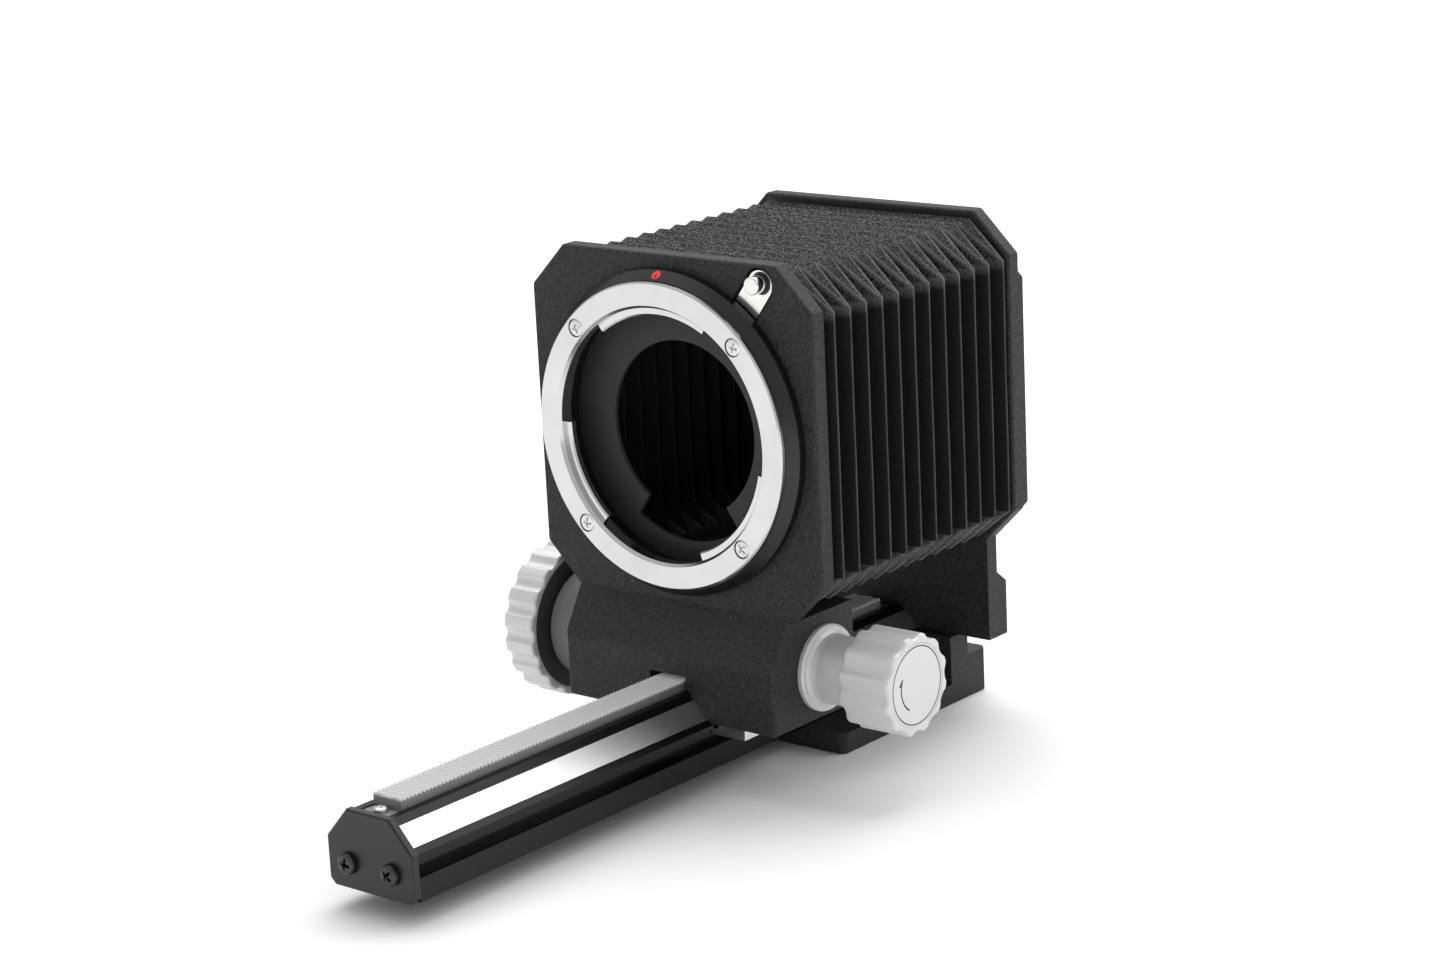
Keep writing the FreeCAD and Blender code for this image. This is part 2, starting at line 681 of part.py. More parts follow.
def make_front_standard():
    plate = rounded_plate(octagon(PLATE_HALF, PLATE_CUT), FRONT_Y, FRONT_REAR_Y, FRONT_Y)
    slope_top_z = PLATE_BOTTOM_Z + EDGE_ROUND + 0.1
    profile = [
        (SLOPE_Y, CARRIAGE_BOTTOM_Z),
        (CARRIAGE_REAR_Y, CARRIAGE_BOTTOM_Z),
        (CARRIAGE_REAR_Y, PLATE_BOTTOM_Z),
        (FRONT_Y + EDGE_ROUND + 0.5, PLATE_BOTTOM_Z),
        (FRONT_Y + EDGE_ROUND + 0.5, slope_top_z),
        (FRONT_Y, slope_top_z),
        (SLOPE_Y, SLOPE_Z),
    ]
    carriage = prism_x(profile, -CARRIAGE_HALF, CARRIAGE_HALF)
    carriage = round_where(carriage, EDGE_ROUND, lambda p: p.z < PLATE_BOTTOM_Z - 1)
    body = plate.fuse(carriage).removeSplitter()
    cuts = [
        prism_y(way_outline(), SLOPE_Y - 1, CARRIAGE_REAR_Y + 1),
        frame_plate(FRONT_REAR_Y - FRAME_T, FRONT_REAR_Y),
        rod_y(SPIGOT_R, FRONT_Y - 1, FRONT_REAR_Y + 1),
        lever_shape(RECESS_R, SPIGOT_R - 1, FRONT_Y - 1, FRONT_Y + RECESS_DEPTH),
        rod_x(CAVITY_R, -PINION_HALF - FREE_GAP, CARRIAGE_HALF + 1),
        rod_x(SHAFT_R + RUN_GAP, -CARRIAGE_HALF - 1, 0),
    ]
    for p in keeper_screw_points():
        cuts.append(hole(0.9, 7.0, p, (0, 0, 1)))
    return body.cut(Part.makeCompound(cuts))


def make_mount_base():
    ring = turned_y([
        (BARREL_R, FRONT_Y - MOUNT_BASE_D),
        (MOUNT_BASE_NOSE_R, FRONT_Y - MOUNT_BASE_D),
        (MOUNT_BASE_R, FRONT_Y - MOUNT_BASE_RIM),
        (MOUNT_BASE_R, FRONT_Y),
        (SPIGOT_R, FRONT_Y),
        (SPIGOT_R, FRONT_REAR_Y - FRAME_T),
        (BARREL_R, FRONT_REAR_Y - FRAME_T),
    ])
    cuts = [turned_y([
        (BARREL_R - 1, FRONT_Y - MOUNT_BASE_D - 1),
        (RING_R, FRONT_Y - MOUNT_BASE_D - 1),
        (RING_R, FRONT_Y - RING_D + RING_T),
        (BARREL_R - 1, FRONT_Y - RING_D + RING_T),
    ])]
    cuts.append(lever_shape(RECESS_R, BARREL_R - 2, FRONT_Y, FRONT_Y + RECESS_DEPTH))
    cuts += [hole(1.0, 4.4, p, (0, 1, 0)) for p in ring_screw_points()]
    cuts.append(index_dot_solid())
    return ring.cut(Part.makeCompound(cuts))


def index_dot_solid():
    """Painted dot sunk square into the base ring's bevel at the top."""
    depth = MOUNT_BASE_D - MOUNT_BASE_RIM
    middle_r = (MOUNT_BASE_R + MOUNT_BASE_NOSE_R) / 2
    middle_y = FRONT_Y - (MOUNT_BASE_D + MOUNT_BASE_RIM) / 2
    fall = MOUNT_BASE_R - MOUNT_BASE_NOSE_R
    normal = V(0, -fall, depth)
    normal.normalize()
    centre = V(0, middle_y, LENS_Z + middle_r)
    return Part.makeCylinder(0.95, 0.5, centre - normal * 0.45, normal)


def make_lens_bayonet():
    face = FRONT_Y - RING_D
    ring = turned_y([
        (THROAT_R + 0.5, face),
        (RING_R - 0.3, face),
        (RING_R, face + 0.3),
        (RING_R, face + RING_T),
        (BARREL_R, face + RING_T),
        (BARREL_R, face + 4.2),
        (CHANNEL_R, face + 4.2),
        (CHANNEL_R, face + 2.6),
        (THROAT_R, face + 2.6),
        (THROAT_R, face + 0.6),
    ])
    tabs = turned_y([
        (TAB_R + 0.3, face + 1.3),
        (THROAT_R + 0.2, face + 1.3),
        (THROAT_R + 0.2, face + 2.6),
        (TAB_R, face + 2.6),
        (TAB_R, face + 1.6),
    ])
    for start, end in ((62, 126), (180, 230), (290, 348)):
        wedge = sector_y(RING_R, start, end, face, face + 4)
        ring = ring.fuse(tabs.common(wedge))
    cuts = []
    for x, y, z in ring_screw_points():
        cuts.append(hole(1.75, 3.0, (x, y, z), (0, -1, 0)))
        cuts.append(hole(1.0, 4.4, (x, y, z), (0, 1, 0)))
    return ring.cut(Part.makeCompound(cuts)).removeSplitter()


def make_bayonet_screws():
    pieces = [screw(1.7, 0.7, 1.0, 3.6, p, (0, -1, 0)) for p in ring_screw_points()]
    return Part.makeCompound(pieces)


def make_light_baffle():
    y0 = FRONT_REAR_Y - FRAME_T
    disc = rod_y(BAFFLE_R, y0, y0 + BAFFLE_T)
    wide = sector_y(BAFFLE_NOTCH_R, 236, 304, y0 - 1, y0 + BAFFLE_T + 1)
    return disc.cut(Part.makeCompound([rod_y(BAFFLE_HOLE_R, y0 - 1, y0 + 3), wide]))


def make_keeper():
    """Strip under the carriage's right side that hooks into the rail's groove."""
    inner = GROOVE_RIB_X + FREE_GAP
    outline = [
        (inner, GROOVE_STEP_Z + 0.3),
        (16.5, GROOVE_STEP_Z + 0.3),
        (16.5, CARRIAGE_BOTTOM_Z),
        (RAIL_HALF + FREE_GAP + 0.3, CARRIAGE_BOTTOM_Z),
        (RAIL_HALF + FREE_GAP, GROOVE_HIGH_Z - RUN_GAP),
        (inner, GROOVE_HIGH_Z - RUN_GAP),
    ]
    keeper = prism_y(outline, SLOPE_Y + 1.5, CARRIAGE_REAR_Y - 1.5)
    cuts = [hole(0.9, 7.0, p, (0, 0, 1)) for p in keeper_screw_points()]
    return keeper.cut(Part.makeCompound(cuts))


def make_keeper_screws():
    pieces = [screw(1.6, 0.8, 0.9, 5.0, p, (0, 0, -1)) for p in keeper_screw_points()]
    return Part.makeCompound(pieces)


def make_drive_housing():
    """Bearing boss on the carriage's left side."""
    wall = -CARRIAGE_HALF
    return turned_x([
        (SHAFT_R + RUN_GAP, wall),
        (HOUSING_R - 0.6, wall),
        (HOUSING_R, wall - 1.5),
        (HOUSING_R, HOUSING_END_X + 0.6),
        (HOUSING_R - 0.6, HOUSING_END_X),
        (SHAFT_R + RUN_GAP, HOUSING_END_X),
    ])


def make_clamp_collar():
    """Flanged collar that closes the cavity and carries the clamp screw's thread."""
    wall = CARRIAGE_HALF
    flange = wall + COLLAR_FLANGE_T
    return turned_x([
        (SCREW_R + RUN_GAP, COLLAR_PLUG_X),
        (CAVITY_R, COLLAR_PLUG_X),
        (CAVITY_R, wall),
        (COLLAR_FLANGE_R, wall),
        (COLLAR_FLANGE_R, flange - 0.4),
        (COLLAR_FLANGE_R - 0.4, flange),
        (COLLAR_NECK_R + 0.8, flange),
        (COLLAR_NECK_R + 0.2, flange + 0.5),
        (COLLAR_NECK_R, flange + 1.4),
        (COLLAR_NECK_R, COLLAR_END_X),
        (SCREW_R + RUN_GAP, COLLAR_END_X),
    ])


# ------------------------------------------------------------- drive group

def make_drive_shaft():
    return turned_x([
        (0, DRIVE_KNOB_OUT_X + 2.2),
        (SHAFT_R, DRIVE_KNOB_OUT_X + 2.2),
        (SHAFT_R, PINION_HALF + 0.3),
        (BRAKE_DISC_R, PINION_HALF + 0.3),
        (BRAKE_DISC_R, BRAKE_X),
        (0, BRAKE_X),
    ])


def pinion_wire(x, turn):
    """Tooth outline of the pinion in the plane of that X."""
    pitch_r = MODULE * PINION_TEETH / 2
    tip_r = pitch_r + MODULE * 0.9
    root_r = pitch_r - 1.2 * MODULE
    half_tip = (TOOTH_PITCH / 4 - 0.33 * MODULE - TOOTH_SLACK / 4) / pitch_r
    half_root = (TOOTH_PITCH / 4 + 0.36 * MODULE - TOOTH_SLACK / 4) / pitch_r
    points = []
    for k in range(PINION_TEETH):
        middle = -math.pi / 2 + turn + 2 * math.pi * k / PINION_TEETH
        for r, offset in (
            (root_r, -half_root),
            (tip_r, -half_tip),
            (tip_r, half_tip),
            (root_r, half_root),
        ):
            angle = middle + offset
            points.append(V(x, DRIVE_Y + r * math.cos(angle), DRIVE_Z + r * math.sin(angle)))
    return Part.makePolygon(points + points[:1])


def make_pinion():
    """Twisted so that its teeth follow the rack's slanted teeth."""
    pitch_r = MODULE * PINION_TEETH / 2
    wires = []
    for i in range(TWIST_STEPS + 1):
        x = -PINION_HALF + 2 * PINION_HALF * i / TWIST_STEPS
        wires.append(pinion_wire(x, x * math.tan(math.radians(HELIX_DEG)) / pitch_r))
    gear = Part.makeLoft(wires, True, True)
    return gear.cut(rod_x(SHAFT_R, -PINION_HALF - 1, PINION_HALF + 1))


def make_drive_knob():
    near = DRIVE_KNOB_IN_X
    far = DRIVE_KNOB_OUT_X
    rim = fluted_knob(DRIVE_KNOB_R, near, far, DRIVE_SCALLOPS, 1.9, 0.75, 0.6)
    inner = rod_x(DRIVE_KNOB_R - 1.6, DRIVE_KNOB_IN_X - 1.2, DRIVE_KNOB_IN_X + 1)
    outer = rod_x(DRIVE_KNOB_R - 2.6, DRIVE_KNOB_OUT_X - 1, DRIVE_KNOB_OUT_X + 0.8)
    bore = rod_x(SHAFT_R, DRIVE_KNOB_OUT_X - 1, DRIVE_KNOB_IN_X + 1)
    return rim.cut(Part.makeCompound([inner, outer, bore]))


def make_drive_knob_disc():
    """Dark friction disc in the knob's inner face."""
    disc = rod_x(DRIVE_KNOB_R - 1.6, DRIVE_KNOB_IN_X - 1.2, DRIVE_KNOB_IN_X)
    return disc.cut(rod_x(SHAFT_R, DRIVE_KNOB_IN_X - 2, DRIVE_KNOB_IN_X + 1))


def make_drive_knob_cap():
    """Disc in the knob's outer face, round the fixing screw."""
    face = DRIVE_KNOB_OUT_X
    disc = rod_x(DRIVE_KNOB_R - 2.6, face + 0.1, face + 0.8)
    return disc.cut(rod_x(2.0, face - 1, face + 1))


def make_drive_knob_screw():
    point = (DRIVE_KNOB_OUT_X + 0.8, DRIVE_Y, DRIVE_Z)
    return screw(1.9, 0.9, 1.0, 1.4, point, (-1, 0, 0))


# ------------------------------------------------------------- clamp group

def make_clamp_knob():
    near = CLAMP_KNOB_IN_X
    far = CLAMP_KNOB_OUT_X
    knob = fluted_knob(CLAMP_KNOB_R, near, far, CLAMP_SCALLOPS, 3.2, 0.7, 0.7)
    face = rod_x(CLAMP_KNOB_R - 1.7, CLAMP_KNOB_OUT_X - 0.8, CLAMP_KNOB_OUT_X + 1)
    bore = rod_x(SCREW_R, CLAMP_KNOB_IN_X - 1, CLAMP_KNOB_OUT_X - 3)
    return knob.cut(Part.makeCompound([face, bore]))


def make_clamp_cap():
    """Flat disc in the clamp knob's face, with a fine ring groove."""
    disc = rod_x(CLAMP_KNOB_R - 1.7, CLAMP_KNOB_OUT_X - 0.8, CLAMP_KNOB_OUT_X - 0.1)
    groove = turned_x([
        (CLAMP_KNOB_R - 2.3, CLAMP_KNOB_OUT_X + 0.1),
        (CLAMP_KNOB_R - 2.1, CLAMP_KNOB_OUT_X + 0.1),
        (CLAMP_KNOB_R - 2.1, CLAMP_KNOB_OUT_X - 0.25),
        (CLAMP_KNOB_R - 2.3, CLAMP_KNOB_OUT_X - 0.25),
    ])
    return disc.cut(groove)


def brake_start_x():
    return BRAKE_X + BRAKE_TRAVEL + 0.02


def make_clamp_screw():
    start = brake_start_x() + PAD_LENGTH + 0.3
    body = rod_x(SCREW_R, start, CLAMP_KNOB_OUT_X - 3)
    return body.cut(rod_x(1.0 + RUN_GAP, start - 1, start + 2.2))


def make_brake_pad():
    """Friction pad captive on the clamp screw's tip; it stops the drive shaft."""
    start = brake_start_x()
    pad = rod_x(3.4, start, start + PAD_LENGTH)
    return pad.fuse(rod_x(1.0, start + PAD_LENGTH, start + PAD_LENGTH + 2.0)).removeSplitter()


# ------------------------------------------------------------- camera mount

def make_camera_turntable():
    front = REAR_Y + 1.9
    seat = PAD_REAR_Y + RUN_GAP
    back = seat + TURN_FLANGE_T
    table = turned_y([
        (LIGHT_R, front),
        (TURN_BORE_R, front),
        (TURN_BORE_R, seat),
        (TURN_FLANGE_R, seat),
        (TURN_FLANGE_R, back - 0.5),
        (TURN_FLANGE_R - 0.5, back),
        (LIGHT_R, back),
    ])
    seat_cut = turned_y([
        (LIGHT_R - 1, back - 1.0),
        (MALE_SEAT_R, back - 1.0),
        (MALE_SEAT_R, back + 1),
        (LIGHT_R - 1, back + 1),
    ])
    notches = []
    for angle in (90, 180, 270, 360):
        x, z = on_circle(TURN_FLANGE_R, angle)
        notches.append(rod_y(0.8, seat - 1, back + 1, x, z))
    holes = [hole(0.9, 5.0, p, (0, -1, 0)) for p in camera_screw_points()]
    return table.cut(Part.makeCompound([seat_cut] + notches + holes))


def camera_mount_back():
    return PAD_REAR_Y + RUN_GAP + TURN_FLANGE_T


def camera_screw_points():
    y = camera_mount_back() - 1.0 + MALE_SEAT_T - 0.5
    points = []
    for angle in (30, 150, 270):
        x, z = on_circle(25.4, angle)
        points.append((x, y, z))
    return points


def make_camera_bayonet():
    base = camera_mount_back() - 1.0
    end = base + MALE_SEAT_T + MALE_LENGTH
    ring = turned_y([
        (LIGHT_R, base),
        (MALE_SEAT_R, base),
        (MALE_SEAT_R, base + MALE_SEAT_T),
        (MALE_R, base + MALE_SEAT_T),
        (MALE_R, end - 0.4),
        (MALE_R - 0.4, end),
        (LIGHT_R, end),
    ])
    lugs = turned_y([
        (MALE_R - 0.5, end - 2.2),
        (MALE_LUG_R, end - 2.2),
        (MALE_LUG_R, end - 0.9),
        (MALE_R - 0.5, end - 0.9),
    ])
    for start in (60, 180, 300):
        ring = ring.fuse(lugs.common(sector_y(40, start, start + 54, base, end)))
    cuts = []
    for p in camera_screw_points():
        cuts.append(hole(1.5, 2.0, p, (0, 1, 0)))
        cuts.append(hole(0.9, 3.0, p, (0, -1, 0)))
    return ring.cut(Part.makeCompound(cuts)).removeSplitter()


def make_camera_screws():
    pieces = [screw(1.45, 0.5, 0.9, 4.0, p, (0, 1, 0)) for p in camera_screw_points()]
    return Part.makeCompound(pieces)


def make_wave_spring():
    """Washer between the retainer and the turntable that holds the chosen turn."""
    inner = LIGHT_R + 1.5
    outer = TURN_BORE_R - 1.5
    y0 = REAR_Y + 1.6
    y1 = y0 + 0.25
    return turned_y([(inner, y0), (outer, y0), (outer, y1), (inner, y1)])


# ------------------------------------------------------------- lens release

def make_release_lever():
    y0 = FRONT_Y + LEVER_SINK
    return lever_shape(LEVER_R, BARREL_R - 1.6, y0, y0 + LEVER_T)


def make_release_stud():
    tip = FRONT_Y - 2.6
    stud = rod_y(STUD_R, tip, FRONT_Y + LEVER_SINK, STUD_X, STUD_Z)
    return bevel_where(stud, 0.25, lambda p: p.y < tip + 0.1)


def make_release_spring():
    """Small coil under the lever, seated on the recess floor."""
    y0 = FRONT_Y + LEVER_SINK + LEVER_T
    height = RECESS_DEPTH - LEVER_SINK - LEVER_T
    helix = Part.makeHelix(height / 3.4, height - 0.3, 1.2)
    start = V(1.2, 0, 0)
    circle = Part.Wire(Part.makeCircle(0.14, start, V(0, 1, 0)))
    coil = Part.Wire(helix).makePipeShell([circle], True, True)
    coil.rotate(V(0, 0, 0), X_DIR, -90)
    coil.translate(V(STUD_X, y0 + 0.15, STUD_Z))
    return coil


PARTS = {
    "rail": make_rail,
    "rail_strip_right": make_strip,
    "rail_strip_left": lambda: mirrored_x(make_strip()),
    "rack": make_rack,
    "rack_screws": make_rack_screws,
    "end_plate": make_end_plate,
    "end_plate_screws": make_end_plate_screws,
    "foot": make_foot,
    "foot_screws": make_foot_screws,
    "tripod_bush": make_tripod_bush,
    "rear_standard": make_rear_standard,
    "rear_bellows_frame": lambda: frame_ring(REAR_Y, REAR_Y + FRAME_T),
    "mount_retainer": make_mount_retainer,
    "bellows": make_bellows,
    "front_standard": make_front_standard,
    "front_bellows_frame": lambda: frame_ring(FRONT_REAR_Y - FRAME_T, FRONT_REAR_Y),
    "lens_mount_base": make_mount_base,
    "lens_bayonet": make_lens_bayonet,
    "lens_bayonet_screws": make_bayonet_screws,
    "index_dot": index_dot_solid,
    "light_baffle": make_light_baffle,
    "keeper_right": make_keeper,
    "keeper_left": lambda: mirrored_x(make_keeper()),
    "keeper_screws": make_keeper_screws,
    "drive_housing": make_drive_housing,
    "clamp_collar": make_clamp_collar,
    "drive_shaft": make_drive_shaft,
    "pinion": make_pinion,
    "drive_knob": make_drive_knob,
    "drive_knob_disc": make_drive_knob_disc,
    "drive_knob_cap": make_drive_knob_cap,
    "drive_knob_screw": make_drive_knob_screw,
    "clamp_knob": make_clamp_knob,
    "clamp_cap": make_clamp_cap,
    "clamp_screw": make_clamp_screw,
    "brake_pad": make_brake_pad,
    "camera_turntable": make_camera_turntable,
    "camera_bayonet": make_camera_bayonet,
    "camera_bayonet_screws": make_camera_screws,
    "wave_spring": make_wave_spring,
    "release_lever": make_release_lever,
    "release_stud": make_release_stud,
    "release_spring": make_release_spring,
}


def main():
    os.makedirs("parts", exist_ok=True)
    for name, make in PARTS.items():
        shape = make()
        shape.exportStep("parts/" + name + ".step")


main()
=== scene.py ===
# %% [markdown]
# # A close-up bellows attachment on its focusing rail
#
# The object is a camera accessory: two octagonal plates, a folded bellows between them, and
# one rail with a rack that the front plate is driven along. The solid parts already exist as
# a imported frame, so this lesson only adds what the eye looks for: the folds of the cloth, the
# rounded flutes of the knobs, the pressed screw heads, and a finish for every surface.
#
# Everything is in metres and in one frame: +X to the right, -Y towards the lens, +Z up.

# %% Load the frame
import math

import bmesh
import bpy
import numpy as np
from mathutils import Matrix, Vector


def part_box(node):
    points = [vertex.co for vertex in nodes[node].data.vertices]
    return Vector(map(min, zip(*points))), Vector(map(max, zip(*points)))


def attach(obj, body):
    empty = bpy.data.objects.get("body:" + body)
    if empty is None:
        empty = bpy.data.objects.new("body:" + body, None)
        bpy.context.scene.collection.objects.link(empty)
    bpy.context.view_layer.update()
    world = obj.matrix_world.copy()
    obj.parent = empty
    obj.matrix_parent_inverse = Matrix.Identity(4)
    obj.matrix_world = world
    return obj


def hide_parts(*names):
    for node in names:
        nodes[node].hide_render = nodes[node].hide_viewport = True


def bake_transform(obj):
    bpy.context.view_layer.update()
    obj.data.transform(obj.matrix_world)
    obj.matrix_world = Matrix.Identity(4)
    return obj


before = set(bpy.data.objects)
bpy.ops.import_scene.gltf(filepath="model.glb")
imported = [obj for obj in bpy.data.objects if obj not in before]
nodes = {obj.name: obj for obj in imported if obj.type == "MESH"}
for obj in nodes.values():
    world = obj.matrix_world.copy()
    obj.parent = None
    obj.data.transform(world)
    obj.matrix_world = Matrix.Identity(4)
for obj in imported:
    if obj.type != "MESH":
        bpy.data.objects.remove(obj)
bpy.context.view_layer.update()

# %% [markdown]
# A part is measured in millimetres and Blender works in metres. One short name for a
# millimetre keeps the sizes readable.

# %% Millimetres and the two main axes
MM = 0.001
plate_low, plate_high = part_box("front_standard")
knob_low, knob_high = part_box("drive_knob")
PLATE_HALF = 32.8 * MM
LENS_Z = plate_high.z - PLATE_HALF                # height of the optical axis
DRIVE_Y = (knob_low.y + knob_high.y) / 2          # the drive axis runs along X
DRIVE_Z = (knob_low.z + knob_high.z) / 2
print("optical axis at z", round(LENS_Z / MM, 2), "drive axis at", round(DRIVE_Y / MM, 2),
      round(DRIVE_Z / MM, 2))

# %% [markdown]
# ## Camera
#
# A small object is best seen from well back through a long lens, so that its far end isn't
# much smaller than its near end. The camera stands to the right of the lens side, looks
# down a little, and leans slightly, as a hand-levelled tripod does.

# %% Camera
CAMERA_AT = Vector((0.3736, -0.4764, 0.2041))
TURN, DOWN, LEAN = math.radians(39.85), math.radians(14.5), math.radians(-2.75)
ahead = Vector((-math.sin(TURN) * math.cos(DOWN), math.cos(TURN) * math.cos(DOWN), -math.sin(DOWN)))
level = Vector((math.cos(TURN), math.sin(TURN), 0))
above = level.cross(ahead)
side = math.cos(LEAN) * level + math.sin(LEAN) * above
top = math.cos(LEAN) * above - math.sin(LEAN) * level
camera = bpy.data.objects.new("camera", bpy.data.cameras.new("camera"))
bpy.context.scene.collection.objects.link(camera)
axes = Matrix((side, top, -ahead)).transposed().to_4x4()
camera.matrix_world = Matrix.Translation(CAMERA_AT) @ axes
camera.data.sensor_width = 36.0
camera.data.lens = 80.82
camera.data.clip_start = 0.01
bpy.context.scene.camera = camera
print("camera", round((CAMERA_AT - Vector((0, -0.05, 0.05))).length, 3), "m from the rail's middle")

# %% [markdown]
# ## Shader maths as Python
#
# A material is a graph of nodes. Written out node by node it is hard to read, so one small
# class wraps an output socket and gives it + - * and /, and another holds a material and
# makes any other node in one call.

# %% Two helpers for node trees
class Wire:
    """An output socket; arithmetic on it adds a Math node and gives that node's output."""

    def __init__(self, tree, socket):
        self.tree = tree
        self.socket = socket

    def math(self, operation, *values):
        node = self.tree.nodes.new("ShaderNodeMath")
        node.operation = operation
        for slot, value in zip(node.inputs, values):
            plug(self.tree, slot, value)
        return Wire(self.tree, node.outputs[0])

    def __add__(self, other):
        return self.math("ADD", self, other)

    def __radd__(self, other):
        return self.math("ADD", other, self)

    def __sub__(self, other):
        return self.math("SUBTRACT", self, other)

    def __rsub__(self, other):
        return self.math("SUBTRACT", other, self)

    def __mul__(self, other):
        return self.math("MULTIPLY", self, other)

    def __rmul__(self, other):
        return self.math("MULTIPLY", other, self)

    def __truediv__(self, other):
        return self.math("DIVIDE", self, other)

    def __rtruediv__(self, other):
        return self.math("DIVIDE", other, self)

    def __pow__(self, other):
        return self.math("POWER", self, other)

    def __lt__(self, other):
        return self.math("LESS_THAN", self, other)

    def __gt__(self, other):
        return self.math("GREATER_THAN", self, other)

    def __abs__(self):
        return self.math("ABSOLUTE", self)


def plug(tree, slot, value):
    """Links a Wire to a socket, or sets the socket to a number or colour."""
    if isinstance(value, Wire):
        tree.links.new(value.socket, slot)
    else:
        slot.default_value = value


class Finish:
    """A material: its constants are set on the shader's own sockets, and its tree follows."""

    def __init__(self, name, **constants):
        self.material = bpy.data.materials.new(name)
        self.material.use_nodes = True
        self.tree = self.material.node_tree
        self.shader = self.tree.nodes["Principled BSDF"]
        for socket, value in constants.items():
            self.shader.inputs[socket.replace("_", " ")].default_value = value

    def node(self, kind, settings, sockets, output=0):
        node = self.tree.nodes.new(kind)
        for name, value in settings.items():
            if name == "stops":
                ramp = node.color_ramp
                while len(ramp.elements) < len(value):
                    ramp.elements.new(0.5)
                for element, (place, tone) in zip(ramp.elements, value):
                    element.position = place
                    element.color = (tone, tone, tone, 1)
            else:
                setattr(node, name, value)
        for name, value in sockets.items():
            plug(self.tree, node.inputs[name], value)
        return Wire(self.tree, node.outputs[output])

    def place(self):
        """The point on the object, in metres."""
        return self.node("ShaderNodeTexCoord", {}, {}, "Object")

    def attribute(self, name, output="Fac"):
        return self.node("ShaderNodeAttribute", {"attribute_name": name}, {}, output)

    def stretched(self, where, scale):
        """where, scaled by a different number along each axis."""
        settings = {"operation": "MULTIPLY"}
        return self.node("ShaderNodeVectorMath", settings, {0: where, 1: scale}, "Vector")

    def noise(self, where, scale, detail=2.0, rough=0.5):
        sockets = {"Vector": where, "Scale": scale, "Detail": detail, "Roughness": rough}
        return self.node("ShaderNodeTexNoise", {}, sockets, "Fac")

    def parts(self, where):
        """x, y and z of a vector as three wires."""
        node = self.tree.nodes.new("ShaderNodeSeparateXYZ")
        plug(self.tree, node.inputs[0], where)
        return [Wire(self.tree, socket) for socket in node.outputs]

    def ramp(self, value, *stops):
        """A grey ramp through (place, grey) stops."""
        return self.node("ShaderNodeValToRGB", {"stops": stops}, {"Fac": value}, "Color")

    def mix(self, factor, first, second):
        """first where factor is 0 and second where it is 1, as colours."""
        sockets = {0: factor, 6: first, 7: second}
        return self.node("ShaderNodeMix", {"data_type": "RGBA"}, sockets, 2)

    def colour(self, wire):
        plug(self.tree, self.shader.inputs["Base Color"], wire)

    def rough(self, wire):
        plug(self.tree, self.shader.inputs["Roughness"], wire)

    def bump(self, height, depth, strength=1.0):
        """height runs from 0 to 1 over a depth in metres."""
        sockets = {"Height": height, "Distance": depth, "Strength": strength}
        normal = self.node("ShaderNodeBump", {}, sockets, "Normal")
        plug(self.tree, self.shader.inputs["Normal"], normal)


def grey(value, warm=0.0):
    """A grey of that brightness; warm adds red and takes blue."""
    return (value * (1 + warm), value, value * (1 - warm), 1)


finishes = {}
print("helpers ready")

# %% [markdown]
# ## Crinkle paint
#
# The castings carry a baked black crinkle paint. Its grain is a fine, uneven net of bumps
# under a millimetre across, which breaks every highlight into a soft grey. Two sizes of
# noise make the net, and a sparse cell pattern adds the few specks of dust that it holds.

# %% Crinkle paint for the castings
paint = Finish("crinkle_paint", Specular_IOR_Level=0.26)
where = paint.place()
grain = paint.noise(where, 2300.0, 3.0, 0.6)
fine = paint.noise(where, 6000.0, 2.0, 0.5)
broad = paint.noise(where, 45.0, 2.0, 0.5)
lift = grain * 0.7 + fine * 0.3
speck_at = {"Vector": where, "Scale": 420.0}
speck_cell = paint.node("ShaderNodeTexVoronoi", {}, speck_at, "Color")
speck_near = paint.node("ShaderNodeTexVoronoi", {}, speck_at, "Distance") < 0.09
specks = speck_near * (paint.parts(speck_cell)[0] > 0.93)
net = paint.ramp(lift, (0.36, 0.0), (0.66, 1.0))
body_tone = paint.mix(net, grey(0.004), grey(0.05))
aged = paint.mix(broad * 0.2, body_tone, grey(0.03, 0.02))
paint.colour(paint.mix(specks * 0.5, aged, grey(0.22)))
paint.rough(0.62 - lift * 0.2)
paint.bump(lift, 0.0003, 0.8)
finishes["crinkle"] = paint.material
print("crinkle paint:", len(paint.tree.nodes), "nodes")

# %% [markdown]
# ## Black machined metal
#
# The ring round the lens mount, the rail and its end plate are machined and finished in
# satin black. A turned part shows very fine rings about its axis, and an extruded rail
# shows fine lines along its length. The same recipe serves both: noise that is stretched
# along the direction in which the tool went.

# %% Satin black, turned and drawn
def machined_black(name, place_of_grain, base=0.011, rough=0.34, shine=0.5):
    """Black satin whose grain is a noise read at place_of_grain(finish)."""
    black = Finish(name, Specular_IOR_Level=shine)
    where = black.place()
    streak = black.noise(place_of_grain(black), 1.0, 3.0, 0.6)
    cloud = black.noise(where, 60.0, 2.0, 0.5)
    black.colour(black.mix(cloud, grey(base), grey(base * 1.9)))
    black.rough(rough + streak * 0.1 - cloud * 0.05)
    black.bump(streak, 0.00002, 0.35)
    return black.material


def round_lens_axis(finish):
    """(distance from the optical axis, depth, 0): equal all the way round a turned ring."""
    x, y, z = finish.parts(finish.place())
    reach = ((x * x) + (z - LENS_Z) * (z - LENS_Z)) ** 0.5
    sockets = {"X": reach * 9000.0, "Y": y * 9000.0, "Z": 0.0}
    return finish.node("ShaderNodeCombineXYZ", {}, sockets)


def along_rail(finish):
    return finish.stretched(finish.place(), (4200.0, 26.0, 4200.0))


def even_grain(finish):
    return finish.stretched(finish.place(), (2600.0, 2600.0, 2600.0))


